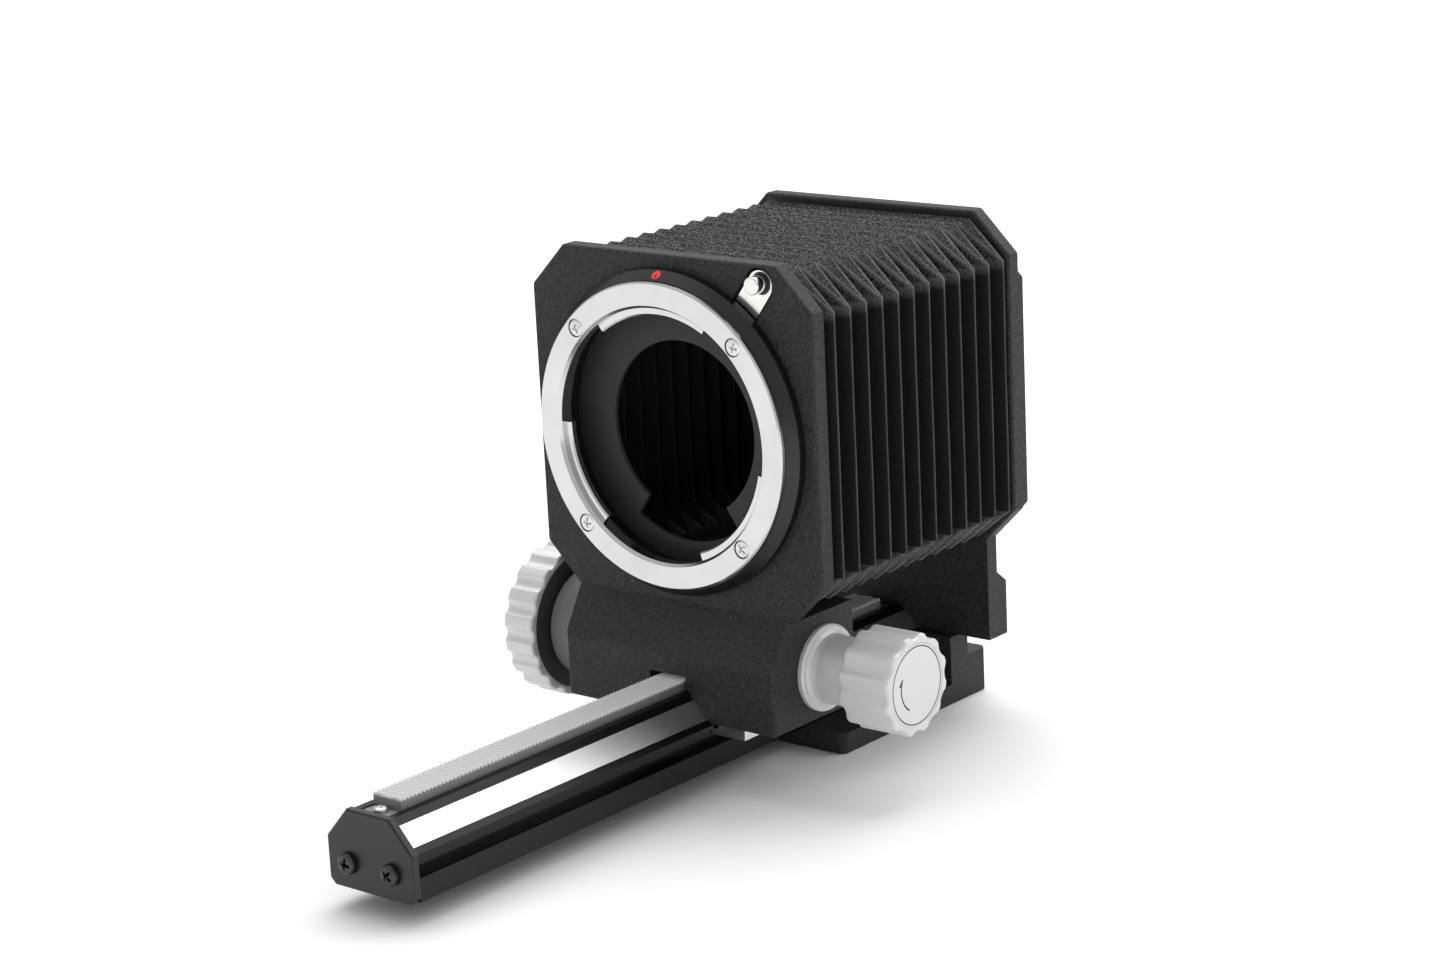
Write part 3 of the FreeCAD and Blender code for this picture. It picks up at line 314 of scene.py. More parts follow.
finishes["turned_black"] = machined_black("turned_black", round_lens_axis, 0.004, 0.26)
finishes["drawn_black"] = machined_black("drawn_black", along_rail, 0.002, 0.24, 0.28)
finishes["plain_black"] = machined_black("plain_black", even_grain, 0.006, 0.38)
finishes["throat_black"] = machined_black("throat_black", round_lens_axis, 0.016, 0.6)
print("four blacks")

# %% [markdown]
# ## Bright metals
#
# Chrome on the lens mount, ground steel on the slideways, zinc on the rack and nickel on
# the lever differ mostly in how sharp their reflections are and in the marks left by the
# tool. Only their grain and tone change over the surface. The rack is the exception: its
# zinc is dull, so it is only partly metallic, and painted shade darkens its colour towards
# the roots of its teeth.

# %% Bright metals
def bright_metal(name, place_of_grain, tone, rough, marks, depth=0.000012, warm=0.0):
    """A metal of that tone; marks is how far its grain changes the roughness."""
    metal = Finish(name, Metallic=1.0)
    where = metal.place()
    streak = metal.noise(place_of_grain(metal), 1.0, 4.0, 0.65)
    stain = metal.noise(where, 90.0, 3.0, 0.6)
    clear = metal.ramp(stain, (0.35, 0.0), (0.75, 1.0))
    metal.colour(metal.mix(clear, grey(tone, warm), grey(tone * 0.9, warm)))
    metal.rough(rough + (streak - 0.5) * marks + clear * 0.04)
    metal.bump(streak, depth, 0.3)
    return metal.material


def round_drive_axis(finish):
    """Distance from the drive axis and place along it, for parts turned about that axis."""
    x, y, z = finish.parts(finish.place())
    reach = ((y - DRIVE_Y) * (y - DRIVE_Y) + (z - DRIVE_Z) * (z - DRIVE_Z)) ** 0.5
    sockets = {"X": reach * 7000.0, "Y": x * 7000.0, "Z": 0.0}
    return finish.node("ShaderNodeCombineXYZ", {}, sockets)


rack_low, rack_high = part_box("rack")
TOOTH_HEIGHT = 0.675 * MM
RACK_ROOT_Z = rack_high.z - TOOTH_HEIGHT


def toothed_zinc(name):
    """Zinc that is light on the teeth and darkened between them by painted shade."""
    metal = Finish(name, Metallic=0.3)
    x, y, z = metal.parts(metal.place())
    grain = metal.noise(even_grain(metal), 1.0, 3.0, 0.6)
    up_tooth = (z - RACK_ROOT_Z) / TOOTH_HEIGHT
    # Painted shade: the colour is dark at the roots of the teeth and light towards their tips.
    unshaded_tooth = metal.ramp(up_tooth, (0.05, 0.0), (0.7, 1.0))
    metal.colour(metal.mix(unshaded_tooth, grey(0.2), metal.mix(grain, grey(0.76), grey(0.88))))
    metal.rough(0.5 - unshaded_tooth * 0.16 + grain * 0.08)
    metal.bump(grain, 0.000012, 0.3)
    return metal.material


finishes["chrome"] = bright_metal("satin_chrome", round_lens_axis, 0.66, 0.17, 0.16)
finishes["slideway"] = bright_metal("ground_steel", along_rail, 0.92, 0.3, 0.03, 0.000004)
finishes["zinc"] = toothed_zinc("zinc_plate")
finishes["nickel"] = bright_metal("polished_nickel", even_grain, 0.8, 0.12, 0.05, warm=0.02)
finishes["screw_steel"] = bright_metal("screw_steel", even_grain, 0.72, 0.24, 0.1)
finishes["brass"] = bright_metal("gear_brass", even_grain, 0.6, 0.3, 0.1, warm=0.3)
finishes["blued_steel"] = bright_metal("blackened_steel", even_grain, 0.07, 0.36, 0.15)
print("seven metals")

# %% [markdown]
# ## Pale satin knobs
#
# The knobs are light alloy with a fine blasted and lacquered skin. It is nearly white, with a
# soft wide highlight rather than a mirror, so it is only partly metallic.

# %% Pale satin alloy
def pale_alloy(name, tone, rough, metallic, warm):
    alloy = Finish(name, Metallic=metallic)
    grain = alloy.noise(alloy.place(), 5200.0, 2.0, 0.5)
    rings = alloy.noise(round_drive_axis(alloy), 1.0, 2.0, 0.5)
    handled = alloy.noise(alloy.place(), 140.0, 3.0, 0.6)
    worn = alloy.ramp(handled, (0.4, 0.0), (0.8, 1.0))
    alloy.colour(alloy.mix(worn, grey(tone, warm), grey(tone * 0.93, warm)))
    alloy.rough(rough + (rings - 0.5) * 0.12 + worn * 0.05)
    alloy.bump(grain, 0.00001, 0.25)
    return alloy.material


finishes["knob"] = pale_alloy("pale_alloy", 0.7, 0.42, 0.3, 0.014)
finishes["boss"] = pale_alloy("grey_boss", 0.17, 0.5, 0.1, 0.01)
# Painted shade: the knob's inner face takes a dark grey, standing in for the shade that it lies in.
finishes["knob_face_shade"] = pale_alloy("dark_disc", 0.055, 0.5, 0.1, 0.01)
print("three alloys")

# %% [markdown]
# ## Bellows cloth
#
# The cloth is thin leatherette over card. Its top and bottom show a grain of small worms,
# whose crests there are coloured a light grey: a painted sheen where light grazes them.
# The sides are smoother and nearly black, and the creases are rubbed to thin light lines.
# Where the cloth faces up, which is where the grain and the painted sheen go, where it
# creases and where each point lay at rest are stored on the mesh, so the pattern follows
# the cloth as it folds.

# %% Leatherette
cloth = Finish("leatherette", Specular_IOR_Level=0.22)
at_rest = cloth.attribute("rest_place", "Vector")
grain_and_sheen_side = cloth.attribute("faces_up")
rubbed = cloth.attribute("rubbed")
worms = cloth.noise(at_rest, 2300.0, 2.0, 0.55)
pores = cloth.noise(at_rest, 5200.0, 1.0, 0.5)
patch = cloth.noise(at_rest, 120.0, 3.0, 0.6)
crest = cloth.ramp(worms, (0.42, 0.0), (0.62, 1.0))
# Painted sheen: on the top and bottom the worms' crests are coloured light grey, standing in for
# light that grazes them.
leather = cloth.mix(crest, grey(0.004), grey(0.12))
smooth = cloth.mix(pores, grey(0.0015), grey(0.006))
skin = cloth.mix(grain_and_sheen_side, smooth, leather)
cloth.colour(cloth.mix(rubbed * (patch * 0.9 + 0.15), skin, grey(0.3)))
cloth.rough(0.66 - grain_and_sheen_side * crest * 0.16)
relief = crest * (grain_and_sheen_side * 0.85 + 0.15) + pores * 0.15
cloth.bump(relief, 0.0003, 1.0)
finishes["cloth"] = cloth.material
lining = Finish("cloth_lining", Specular_IOR_Level=0.25)
thread = lining.noise(lining.attribute("rest_place", "Vector"), 2600.0, 2.0, 0.5)
lining.colour(lining.mix(thread, grey(0.006), grey(0.018)))
lining.rough(0.7 - thread * 0.1)
lining.bump(thread, 0.00008, 0.4)
finishes["lining"] = lining.material
print("cloth and lining")

# %% [markdown]
# ## The index dot
#
# A drop of red enamel shows where to line the lens up. It is glossy and a little darker at
# its middle, where the enamel lies deepest.

# %% Red enamel
enamel = Finish("red_enamel", Specular_IOR_Level=0.5, Coat_Weight=0.4)
x, y, z = enamel.parts(enamel.place())
dot_low, dot_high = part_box("index_dot")
dot_z = (dot_low.z + dot_high.z) / 2
from_middle = ((x * x) + (z - dot_z) * (z - dot_z)) ** 0.5
depth_of_dot = enamel.ramp(from_middle * 1000.0, (0.15, 0.0), (0.5, 1.0))
enamel.colour(enamel.mix(depth_of_dot, (0.2, 0.006, 0.008, 1), (0.8, 0.014, 0.018, 1)))
enamel.rough(0.28 + depth_of_dot * 0.1)
finishes["enamel"] = enamel.material
print("dot at", round(dot_z / MM, 2))

# %% [markdown]
# ## Putting arrays into a mesh
#
# Every new surface below is a grid of points worked out as one numpy array. A closed
# profile carried round a closed path gives a tube with no open edge, so one function can
# join any such grid.

# %% From grids to meshes
def grid_faces(rows, columns, wrap_rows=True, wrap_columns=True):
    """Quads between neighbouring points of a rows by columns grid, wrapped where closed."""
    last_row = rows if wrap_rows else rows - 1
    last_column = columns if wrap_columns else columns - 1
    r, c = np.meshgrid(np.arange(last_row), np.arange(last_column), indexing="ij")
    r_next = (r + 1) % rows
    c_next = (c + 1) % columns
    here, after = r * columns, r_next * columns
    corners = (here + c, here + c_next, after + c_next, after + c)
    return np.stack(corners, axis=-1).reshape(-1, 4)


def new_piece(name, points, faces, sharp_deg=35.0):
    """A mesh object at the origin from an array of points and a list of faces.

    The points are in metres, and the faces are turned outwards.
    """
    mesh = bpy.data.meshes.new(name)
    mesh.from_pydata(points.reshape(-1, 3).tolist(), [], faces)
    net = bmesh.new()
    net.from_mesh(mesh)
    bmesh.ops.remove_doubles(net, verts=net.verts, dist=0.002 * MM)
    bmesh.ops.recalc_face_normals(net, faces=net.faces)
    net.to_mesh(mesh)
    net.free()
    mesh.shade_smooth()
    mesh.set_sharp_from_angle(angle=math.radians(sharp_deg))
    piece = bpy.data.objects.new(name, mesh)
    bpy.context.scene.collection.objects.link(piece)
    return piece


def finish_piece(piece, finish, body, slot, *replaced):
    """Gives a piece its finish and its body, and hides the CAD nodes that it stands for. The slot
    is not used.
    """
    piece.data.materials.append(finishes[finish])
    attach(piece, body)
    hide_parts(*replaced)


print("mesh helpers ready")

# %% [markdown]
# ## The folds
#
# The bellows is one strip of cloth pleated twelve times. On the sides each pleat stands out
# sharply, and on the top and bottom it hardly shows: there the cloth lies flat between
# shallow ridges that fall where the side has its valleys. The corner takes up the difference
# with two long triangles, and the crease between them runs from the side's ridge to the
# top's ridge.
#
# Each pleat is its own closed ring with an outer skin and an inner one. Every point of the
# ring is worked out from three numbers: the way round the octagon, the way along the pleat,
# and the wall it is on.

# %% Sizes of the pleats
cloth_low, cloth_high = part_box("bellows")
PLEATS = 12
SIDE_RIDGE = cloth_high.x
TOP_RIDGE = (cloth_high.z - cloth_low.z) / 2
SIDE_VALLEY = SIDE_RIDGE - 5.8 * MM
TOP_VALLEY = TOP_RIDGE - 1.1 * MM
FOLD_CORNER = 24.2 * MM
SKIN = 0.45 * MM
PITCH = (cloth_high.y - cloth_low.y) / PLEATS
HALF_LINES = np.array([0, 0.014, 0.0556, 0.25, 0.5, 0.75, 0.9444, 0.986, 1.0])
print("pleats of", round(PITCH / MM, 2), "mm")

# %% One pleat
# kind of panel, sign of x, sign of z, and whether it is walked from the top's corner
PANELS = (
    ("side", 1, 1, False), ("facet", 1, 1, False), ("top", 1, 1, False), ("facet", -1, 1, True),
    ("side", -1, -1, False), ("facet", -1, -1, False), ("top", -1, -1, False),
    ("facet", 1, -1, True),
)
PANEL_STEPS = np.linspace(0, 1, 25)[:-1]


def crease_ease(t):
    """Way along a half pleat for a point that is t of the way out; eased round each crease."""
    ease = 0.1
    near = ease / (2 * (1 - ease))
    low = np.sqrt(np.clip(2 * ease * (1 - ease) * t, 0, None))
    high = 1 - np.sqrt(np.clip(2 * ease * (1 - ease) * (1 - t), 0, None))
    return np.where(t < near, low, np.where(t > 1 - near, high, t * (1 - ease) + ease / 2))


def panel_outline(kind, s, t, inset):
    """(x, z) of a panel of the first quarter; t is 0 at a side valley and 1 at a side ridge.

    A side or top panel joins its two corners in a straight line. A corner facet is two flat
    triangles that meet on the line from the side's ridge (s 0, t 1) to the top's ridge
    (s 1, t 0).
    """
    side_low, side_high = SIDE_VALLEY - inset, SIDE_RIDGE - inset
    top_low, top_high = TOP_VALLEY - inset, TOP_RIDGE - inset
    corner = FOLD_CORNER - 0.3 * inset
    if kind == "side":
        return side_low + (side_high - side_low) * t, corner * (2 * s - 1)
    if kind == "top":
        return corner * (1 - 2 * s), top_high + (top_low - top_high) * t
    x = np.where(s + t <= 1, side_low + s * (corner - side_low) + t * (side_high - side_low),
                 corner + (1 - s) * (side_high - corner))
    z = np.where(s + t <= 1, corner + s * (top_high - corner),
                 top_low + (1 - s) * (corner - top_low) + (1 - t) * (top_high - top_low))
    return x, z


def rubbed_lines(kind, s, t):
    """How rubbed the cloth is, from 0 to 1: it falls off with the distance from each crease."""
    if kind == "side":
        return np.exp(-(1 - t) / 0.012) * 0.85
    if kind == "top":
        return np.exp(-t / 0.04) * 0.2
    return np.exp(-np.abs(s + t - 1) / 0.03) * 0.9 + np.exp(-np.minimum(s, 1 - s) / 0.03) * 0.35


def pucker(points):
    """Small smooth waves: the mean of six sines with fixed random directions."""
    chance = np.random.default_rng(11)
    total = np.zeros(points.shape[:-1])
    for wave in chance.normal(size=(6, 3)):
        total += np.sin(points @ (wave * 210.0) + chance.uniform(0, 6.3))
    return total / 6


def pleat_wall(index, inset):
    """Points of one wall of a pleat, with how rubbed and how upward each point is."""
    t_line = np.concatenate([HALF_LINES, HALF_LINES[-2::-1]])
    eased = crease_ease(HALF_LINES)
    along = np.concatenate([eased, 2 - eased[-2::-1]]) / 2
    strips = []
    for kind, x_sign, z_sign, backward in PANELS:
        steps = HALF_LINES[:-1] if kind == "facet" else PANEL_STEPS
        s, t = np.meshgrid(1 - steps if backward else steps, t_line, indexing="ij")
        x, z = panel_outline(kind, s, t, inset)
        up = {"side": 0.0, "facet": 0.5, "top": 1.0}[kind] + 0 * s
        y = cloth_low.y + PITCH * (index + along) + 0 * s
        strips.append(np.stack([x * x_sign, y, z * z_sign, rubbed_lines(kind, s, t), up], -1))
    wall = np.concatenate(strips)
    points = wall[..., :3]
    outward = points * (1, 0, 1)
    outward = outward / np.linalg.norm(outward, axis=-1, keepdims=True)
    points = points + outward * (pucker(points) * 0.12 * MM)[..., None] + (0, 0, LENS_Z)
    return points, wall[..., 3], wall[..., 4]


outer, rubbed_at, upward_at = pleat_wall(0, 0.0)
print("a pleat's wall has", outer.shape[0], "by", outer.shape[1], "points")

# %% Faces of a pleat
def pleat_faces(rows, columns):
    """Triangles of the two walls and the two end strips of a ring.

    Each quad of a wall is split along the diagonal that follows the corner facet's crease:
    one way on the first half of the pleat and the other way on the second.
    """
    quads = grid_faces(rows, columns, wrap_columns=False).reshape(rows, columns - 1, 4)
    walked_back = np.concatenate([
        np.full(len(HALF_LINES) - 1 if kind == "facet" else len(PANEL_STEPS), backward)
        for kind, x_sign, z_sign, backward in PANELS
    ])
    first_half = np.arange(columns - 1) < (columns - 1) // 2
    crossing = first_half[None, :] != walked_back[:, None]
    one = np.stack([quads[..., [0, 1, 3]], quads[..., [1, 2, 3]]], 2)
    other = np.stack([quads[..., [0, 1, 2]], quads[..., [0, 2, 3]]], 2)
    wall = np.where(crossing[..., None, None], one, other).reshape(-1, 3)
    shift = rows * columns
    ends = []
    for column in (0, columns - 1):
        here = np.arange(rows) * columns + column
        after = np.roll(here, -1)
        ends.append(np.stack([here, after, after + shift], -1))
        ends.append(np.stack([here, after + shift, here + shift], -1))
    return np.concatenate([wall, wall + shift] + ends)


pleat_triangles = pleat_faces(*outer.shape[:2])
print("a pleat has", len(pleat_triangles), "triangles")

# %% [markdown]
# When the front plate moves, every crease must take its share of the way. Here each pleat is
# one mesh with its two walls, the cloth outside and the lining inside, and with how rubbed,
# how upward and where at rest each point is stored on it.


def set_point_values(mesh, name, kind, values):
    layer = mesh.attributes.new(name, kind, "POINT")
    key = "vector" if kind == "FLOAT_VECTOR" else "value"
    layer.data.foreach_set(key, np.ascontiguousarray(values, np.float32).ravel())


def make_pleat(index):
    outer, rubbed_at, upward_at = pleat_wall(index, 0.0)
    inner, no_rub, inner_up = pleat_wall(index, SKIN)
    points = np.concatenate([outer.reshape(-1, 3), inner.reshape(-1, 3)])
    pleat = new_piece(f"bellows_pleat_{index + 1:02d}", points, pleat_triangles.tolist(), 50.0)
    mesh = pleat.data
    both = [np.concatenate([a.ravel(), b.ravel()]) for a, b in
            ((rubbed_at, no_rub * 0), (upward_at, inner_up * 0))]
    set_point_values(mesh, "rubbed", "FLOAT", np.clip(both[0], 0, 1))
    set_point_values(mesh, "faces_up", "FLOAT", both[1])
    set_point_values(mesh, "rest_place", "FLOAT_VECTOR", points)
    mesh.materials.append(finishes["cloth"])
    mesh.materials.append(finishes["lining"])
    wall_size = outer.shape[0] * outer.shape[1]
    first_corner = np.zeros(len(mesh.loops), np.int32)
    mesh.loops.foreach_get("vertex_index", first_corner)
    inside = (first_corner.reshape(-1, 3).min(axis=1) >= wall_size).astype(np.int32)
    mesh.polygons.foreach_set("material_index", inside)
    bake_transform(pleat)
    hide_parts("bellows")


for index in range(PLEATS):
    make_pleat(index)
print(PLEATS, "pleats")

# %% [markdown]
# ## Fluted knobs
#
# A knob is a short cylinder whose rim has been milled with round flutes, then tumbled so
# that no edge is sharp. In a section through its axis it is one closed line: out along one
# face, over a rounded edge, along the rim, over the other edge and back. Carried round the
# axis, that line gives the whole knob. Only the points on the rim feel the flutes.

# %% A fluted rim
def fluted_radius(angle, radius, count, flute, depth):
    """Radius of the rim at each angle.

    Between flutes it is the full radius. In a flute it is the near side of a circle of the
    flute's radius whose centre lies outside the rim; the two are joined by a smooth minimum.
    """
    pitch = 2 * np.pi / count
    off = (angle + pitch / 2) % pitch - pitch / 2
    centre = radius + flute - depth
    inside = np.clip(flute ** 2 - (centre * np.sin(off)) ** 2, 0, None)
    scoop = centre * np.cos(off) - np.sqrt(inside)
    blend_width = 0.22 * MM
    mixed = np.clip(0.5 + (scoop - radius) / (2 * blend_width), 0, 1)
    return scoop * (1 - mixed) + radius * mixed - blend_width * mixed * (1 - mixed)


def rounded_edge(x_face, inward, size, steps=5):
    """(inset, x) points of a quarter round from a flat face to the rim, or the reverse."""
    turn = np.linspace(0, np.pi / 2, steps)
    return [(size * (1 - math.sin(a)), x_face + inward * size * (1 - math.cos(a))) for a in turn]


def turned_knob(name, radius, flutes, near_x, far_x, near_face, far_face, edge):
    """A knob from its fixed profile on both faces; flutes is (count, radius, depth).

    near_face and far_face are (radius, x) points from the bore out to the rim.
    """
    way = 1 if far_x > near_x else -1
    near_edge = rounded_edge(near_x, way, edge)
    far_edge = rounded_edge(far_x, -way, edge)[::-1]
    rim = near_edge + [(0.0, near_x + (far_x - near_x) * k / 6) for k in range(1, 6)] + far_edge
    fixed_near = [(r * MM, x) for r, x in near_face]
    fixed_far = [(r * MM, x) for r, x in far_face][::-1]
    count, flute, depth = flutes
    angle = np.linspace(0, 2 * np.pi, count * 18, endpoint=False)
    outline = fluted_radius(angle, radius * MM, count, flute * MM, depth * MM)
    radii = [r + 0 * angle for r, x in fixed_near]
    radii += [outline - inset for inset, x in rim]
    radii += [r + 0 * angle for r, x in fixed_far]
    levels = np.array([x for r, x in fixed_near + rim + fixed_far])
    reach = np.stack(radii)
    points = np.stack([
        levels[:, None] + 0 * reach,
        DRIVE_Y + reach * np.cos(angle),
        DRIVE_Z + reach * np.sin(angle),
    ], -1)
    return new_piece(name, points, grid_faces(*reach.shape).tolist(), 28.0)


IN_X, OUT_X = knob_high.x, knob_low.x
drive_knob = turned_knob(
    "focus_knob", 14.9, (18, 1.9, 0.75), IN_X, OUT_X,
    [(1.52, OUT_X + 1 * MM), (1.52, IN_X - 1.2 * MM), (13.25, IN_X - 1.2 * MM),
     (13.3, IN_X - 0.3 * MM), (13.45, IN_X)],
    [(1.52, OUT_X + 0.9 * MM), (1.52, OUT_X + 0.8 * MM), (12.25, OUT_X + 0.8 * MM),
     (12.3, OUT_X + 0.25 * MM), (12.5, OUT_X)],
    0.6 * MM)
finish_piece(drive_knob, "knob", "drive", "satin_aluminium", "drive_knob")
clamp_low, clamp_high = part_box("clamp_knob")
C_IN, C_OUT = clamp_low.x, clamp_high.x
clamp_knob = turned_knob(
    "clamp_wheel", 9.4, (12, 3.2, 0.7), C_IN, C_OUT,
    [(2.02, C_OUT - 3 * MM), (2.02, C_IN + 0.3 * MM), (2.3, C_IN)],
    [(2.02, C_OUT - 2.9 * MM), (2.02, C_OUT - 0.8 * MM), (7.7, C_OUT - 0.8 * MM),
     (7.7, C_OUT - 0.2 * MM), (7.85, C_OUT)],
    0.55 * MM)
finish_piece(clamp_knob, "knob", "clamp", "satin_aluminium", "clamp_knob")
print("knobs of", len(drive_knob.data.polygons), "and", len(clamp_knob.data.polygons), "faces")

# %% [markdown]
# The clamp's face is a disc let into the knob, with a fine turned groove near its rim and a
# curved arrow that shows which way tightens. The arrow is a thin line of black paint, so it
# belongs in the finish: it is drawn from the distance to the axis and the angle round it. The
# groove is drawn the same way, as a dark ring of painted shade.

# %% The clamp's face
face = Finish("clamp_face", Metallic=0.45)
x, y, z = face.parts(face.place())
right_of = (y - DRIVE_Y) * 1000.0
up_of = (z - DRIVE_Z) * 1000.0
reach = (right_of * right_of + up_of * up_of) ** 0.5
angle = face.node("ShaderNodeMath", {"operation": "ARCTAN2"}, {0: up_of, 1: right_of * -1.0})
ARC_RADIUS, ARC_HALF_WIDTH = 4.7, 0.16
ARC_MIDDLE, ARC_HALF_TURN = -0.3, 0.72            # radians
TIP_Y, TIP_Z = -4.25, 2.15                        # the arrow's point
HEAD_LEAN, HEAD_SPREAD = 0.62, 0.16               # sideways steps for each millimetre down
HEAD_MIDDLE_Z, HEAD_HALF_LENGTH, TIP_HALF_WIDTH = 1.55, 0.62, 0.17
GROOVE_RADIUS, GROOVE_HALF_WIDTH = 7.2, 0.13
on_arc = abs(reach - ARC_RADIUS) < ARC_HALF_WIDTH
arc = on_arc * (abs(angle - ARC_MIDDLE) < ARC_HALF_TURN)
below_tip = TIP_Z - up_of
off_line = abs(right_of - TIP_Y + below_tip * HEAD_LEAN)
in_head = off_line < TIP_HALF_WIDTH + below_tip * HEAD_SPREAD
head = in_head * (abs(up_of - HEAD_MIDDLE_Z) < HEAD_HALF_LENGTH)
ink = arc + head
groove = abs(reach - GROOVE_RADIUS) < GROOVE_HALF_WIDTH
grain = face.noise(face.place(), 5200.0, 2.0, 0.5)
plain = face.mix(grain, grey(0.66, 0.014), grey(0.74, 0.014))
# Painted shade: the groove is coloured as a dark ring on the plain face.
plain_with_groove_shade = face.mix(groove * 0.75, plain, grey(0.06))
face.colour(face.mix(face.node("ShaderNodeClamp", {}, {"Value": ink}), plain_with_groove_shade, grey(0.025)))
face.rough(0.42 + grain * 0.1)
face.bump(grain, 0.00001, 0.2)
finishes["clamp_face"] = face.material
print("arrow painted on a face at x", round(C_OUT / MM, 2))

# %% [markdown]
# ## Screw heads
#
# The screws are small cross-recessed ones. The head is a shallow dome with a rolled edge,
# and the driver's recess has sloping walls that meet at the middle. Both are heights over a
# round grid: the dome falls with the distance from the middle, and the recess is the deeper
# of two tapered troughs at right angles.

# %% Cross-recessed heads
def screw_surface(radius, height, turn, shank):
    """Points of a screw along +Z with its head's underside at z 0, as rings from the tip."""
    around = np.linspace(0, 2 * np.pi, 72, endpoint=False)
    rings = np.concatenate([np.linspace(0.02, 0.78, 20), [0.84, 0.9, 0.95, 0.985, 1.0]])
    r, a = np.meshgrid(rings, around, indexing="ij")
    dome = height * (1 - 0.22 * r ** 2)
    rolled = np.clip((r - 0.84) / 0.16, 0, 1)
    dome = dome - height * 0.5 * (1 - np.sqrt(np.clip(1 - rolled ** 2, 0, 1)))
    across, along = r * np.cos(a + turn), r * np.sin(a + turn)
    trough = 0 * r
    for near, far in ((np.abs(across), np.abs(along)), (np.abs(along), np.abs(across))):
        wall = np.clip((0.15 - near) / 0.05, 0, 1)
        ramp = np.clip((0.62 - far) / 0.4, 0, 1)
        trough = np.maximum(trough, wall * ramp)
    z = dome - trough * height * 0.62
    skirt = np.array([(1.0, 0.0), (shank[0], 0.0), (shank[0], -shank[1]), (0.02, -shank[1])])
    skirt_z = skirt[:, 1:] + 0 * around
    skirt_r = skirt[:, :1] + 0 * around
    z = np.concatenate([z, skirt_z])
    r = np.concatenate([r, skirt_r])
    a = np.concatenate([a, a[:4]])
    return np.stack([r * np.cos(a) * radius, r * np.sin(a) * radius, z], -1)


def screws(name, seats, outward, radius, height, shank, finish, body, slot, replaced):
    """One piece with a screw on each seat; every seat is (x, y, z, turn) in millimetres."""
    facing = Vector(outward).to_track_quat("Z", "Y").to_matrix()
    every, joined = [], []
    for seat_x, seat_y, seat_z, turn in seats:
        local = screw_surface(radius * MM, height * MM, math.radians(turn), shank)
        rows, columns = local.shape[:2]
        placed = local @ np.array(facing.transposed()) + np.array((seat_x, seat_y, seat_z)) * MM
        shift = len(every) * rows * columns
        joined.append(grid_faces(rows, columns, wrap_rows=False) + shift)
        for end in (np.arange(columns), np.arange(columns)[::-1] + (rows - 1) * columns):
            fan = [[end[0], end[k], end[k + 1], end[k + 1]] for k in range(1, columns - 1)]
            joined.append(np.array(fan) + shift)
        every.append(placed.reshape(-1, 3))
    faces = [tuple(dict.fromkeys(f)) for f in np.concatenate(joined).tolist()]
    piece = new_piece(name, np.concatenate(every), faces, 32.0)
    finish_piece(piece, finish, body, slot, replaced)
    return piece


def circle_seats(radius, y, angles, turns):
    """Seats on a circle about the optical axis, in millimetres."""
    around = [math.radians(a) for a in angles]
    return [(radius * math.cos(a), y, LENS_Z / MM + radius * math.sin(a), turn)
            for a, turn in zip(around, turns)]


def seat_plane(node, axis, inward):
    """Where a screw's head sits: its outer face less the head's height, in millimetres."""
    low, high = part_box(node)
    return (low if inward > 0 else high)[axis] / MM + inward


ring_y = seat_plane("lens_bayonet_screws", 1, 0.7)
screws("mount_ring_screws", circle_seats(26.1, ring_y, (45, 135, 225, 315), (20, 70, 5, 50)),
       (0, -1, 0), 1.7, 0.7, (0.58, 3.6 * MM), "screw_steel", "carriage", "zinc_steel",
       "lens_bayonet_screws")
end_y = seat_plane("end_plate_screws", 1, 1.3)
screws("rail_end_screws", [(-5.0, end_y, 8.6, 12), (5.0, end_y, 8.6, 40)], (0, -1, 0), 1.95, 1.3,
       (0.56, 7.0 * MM), "blued_steel", "rail_assembly", "black_steel", "end_plate_screws")
tab_z = seat_plane("rack_screws", 2, -0.9)
tab_seats = [(0, rack_low.y / MM + 1.7, tab_z, 35), (0, rack_high.y / MM - 1.7, tab_z, 10)]
screws("rack_tab_screws", tab_seats, (0, 0, 1), 1.3, 0.9, (0.61, 3.2 * MM), "screw_steel",
       "rail_assembly", "zinc_steel", "rack_screws")
knob_screw_low, knob_screw_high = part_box("drive_knob_screw")
knob_seat = (OUT_X / MM + 0.8, DRIVE_Y / MM, DRIVE_Z / MM, 15)
screws("focus_knob_screw", [knob_seat], (-1, 0, 0), 1.9, 0.9, (0.52, 1.4 * MM), "screw_steel",
       "drive", "zinc_steel", "drive_knob_screw")
camera_y = seat_plane("camera_bayonet_screws", 1, -0.5)
camera_seats = circle_seats(25.4, camera_y, (30, 150, 270), (0, 33, 61))
screws("camera_ring_screws", camera_seats, (0, 1, 0), 1.45, 0.5, (0.62, 4.0 * MM), "screw_steel",
       "camera_mount", "zinc_steel", "camera_bayonet_screws")
knob_screw_length = (knob_screw_high.x - knob_screw_low.x) / MM
print("screw heads made; the focus knob's screw is", round(knob_screw_length, 2), "mm long")

# %% [markdown]
# ## Lens release
#
# The release is a thin nickel plate with a round stud on it. Round the stud's foot the plate
# is coloured nearly black and not metallic: a painted dark reflection in the polished plate.

# %% Nickel plate with a painted dark reflection round the stud
lever_low, lever_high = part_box("release_lever")
stud_low, stud_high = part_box("release_stud")
STUD_X = (stud_low.x + stud_high.x) / 2
STUD_Z = (stud_low.z + stud_high.z) / 2
plate = Finish("lever_nickel")
x, y, z = plate.parts(plate.place())
from_stud = ((x - STUD_X) * (x - STUD_X) + (z - STUD_Z) * (z - STUD_Z)) ** 0.5
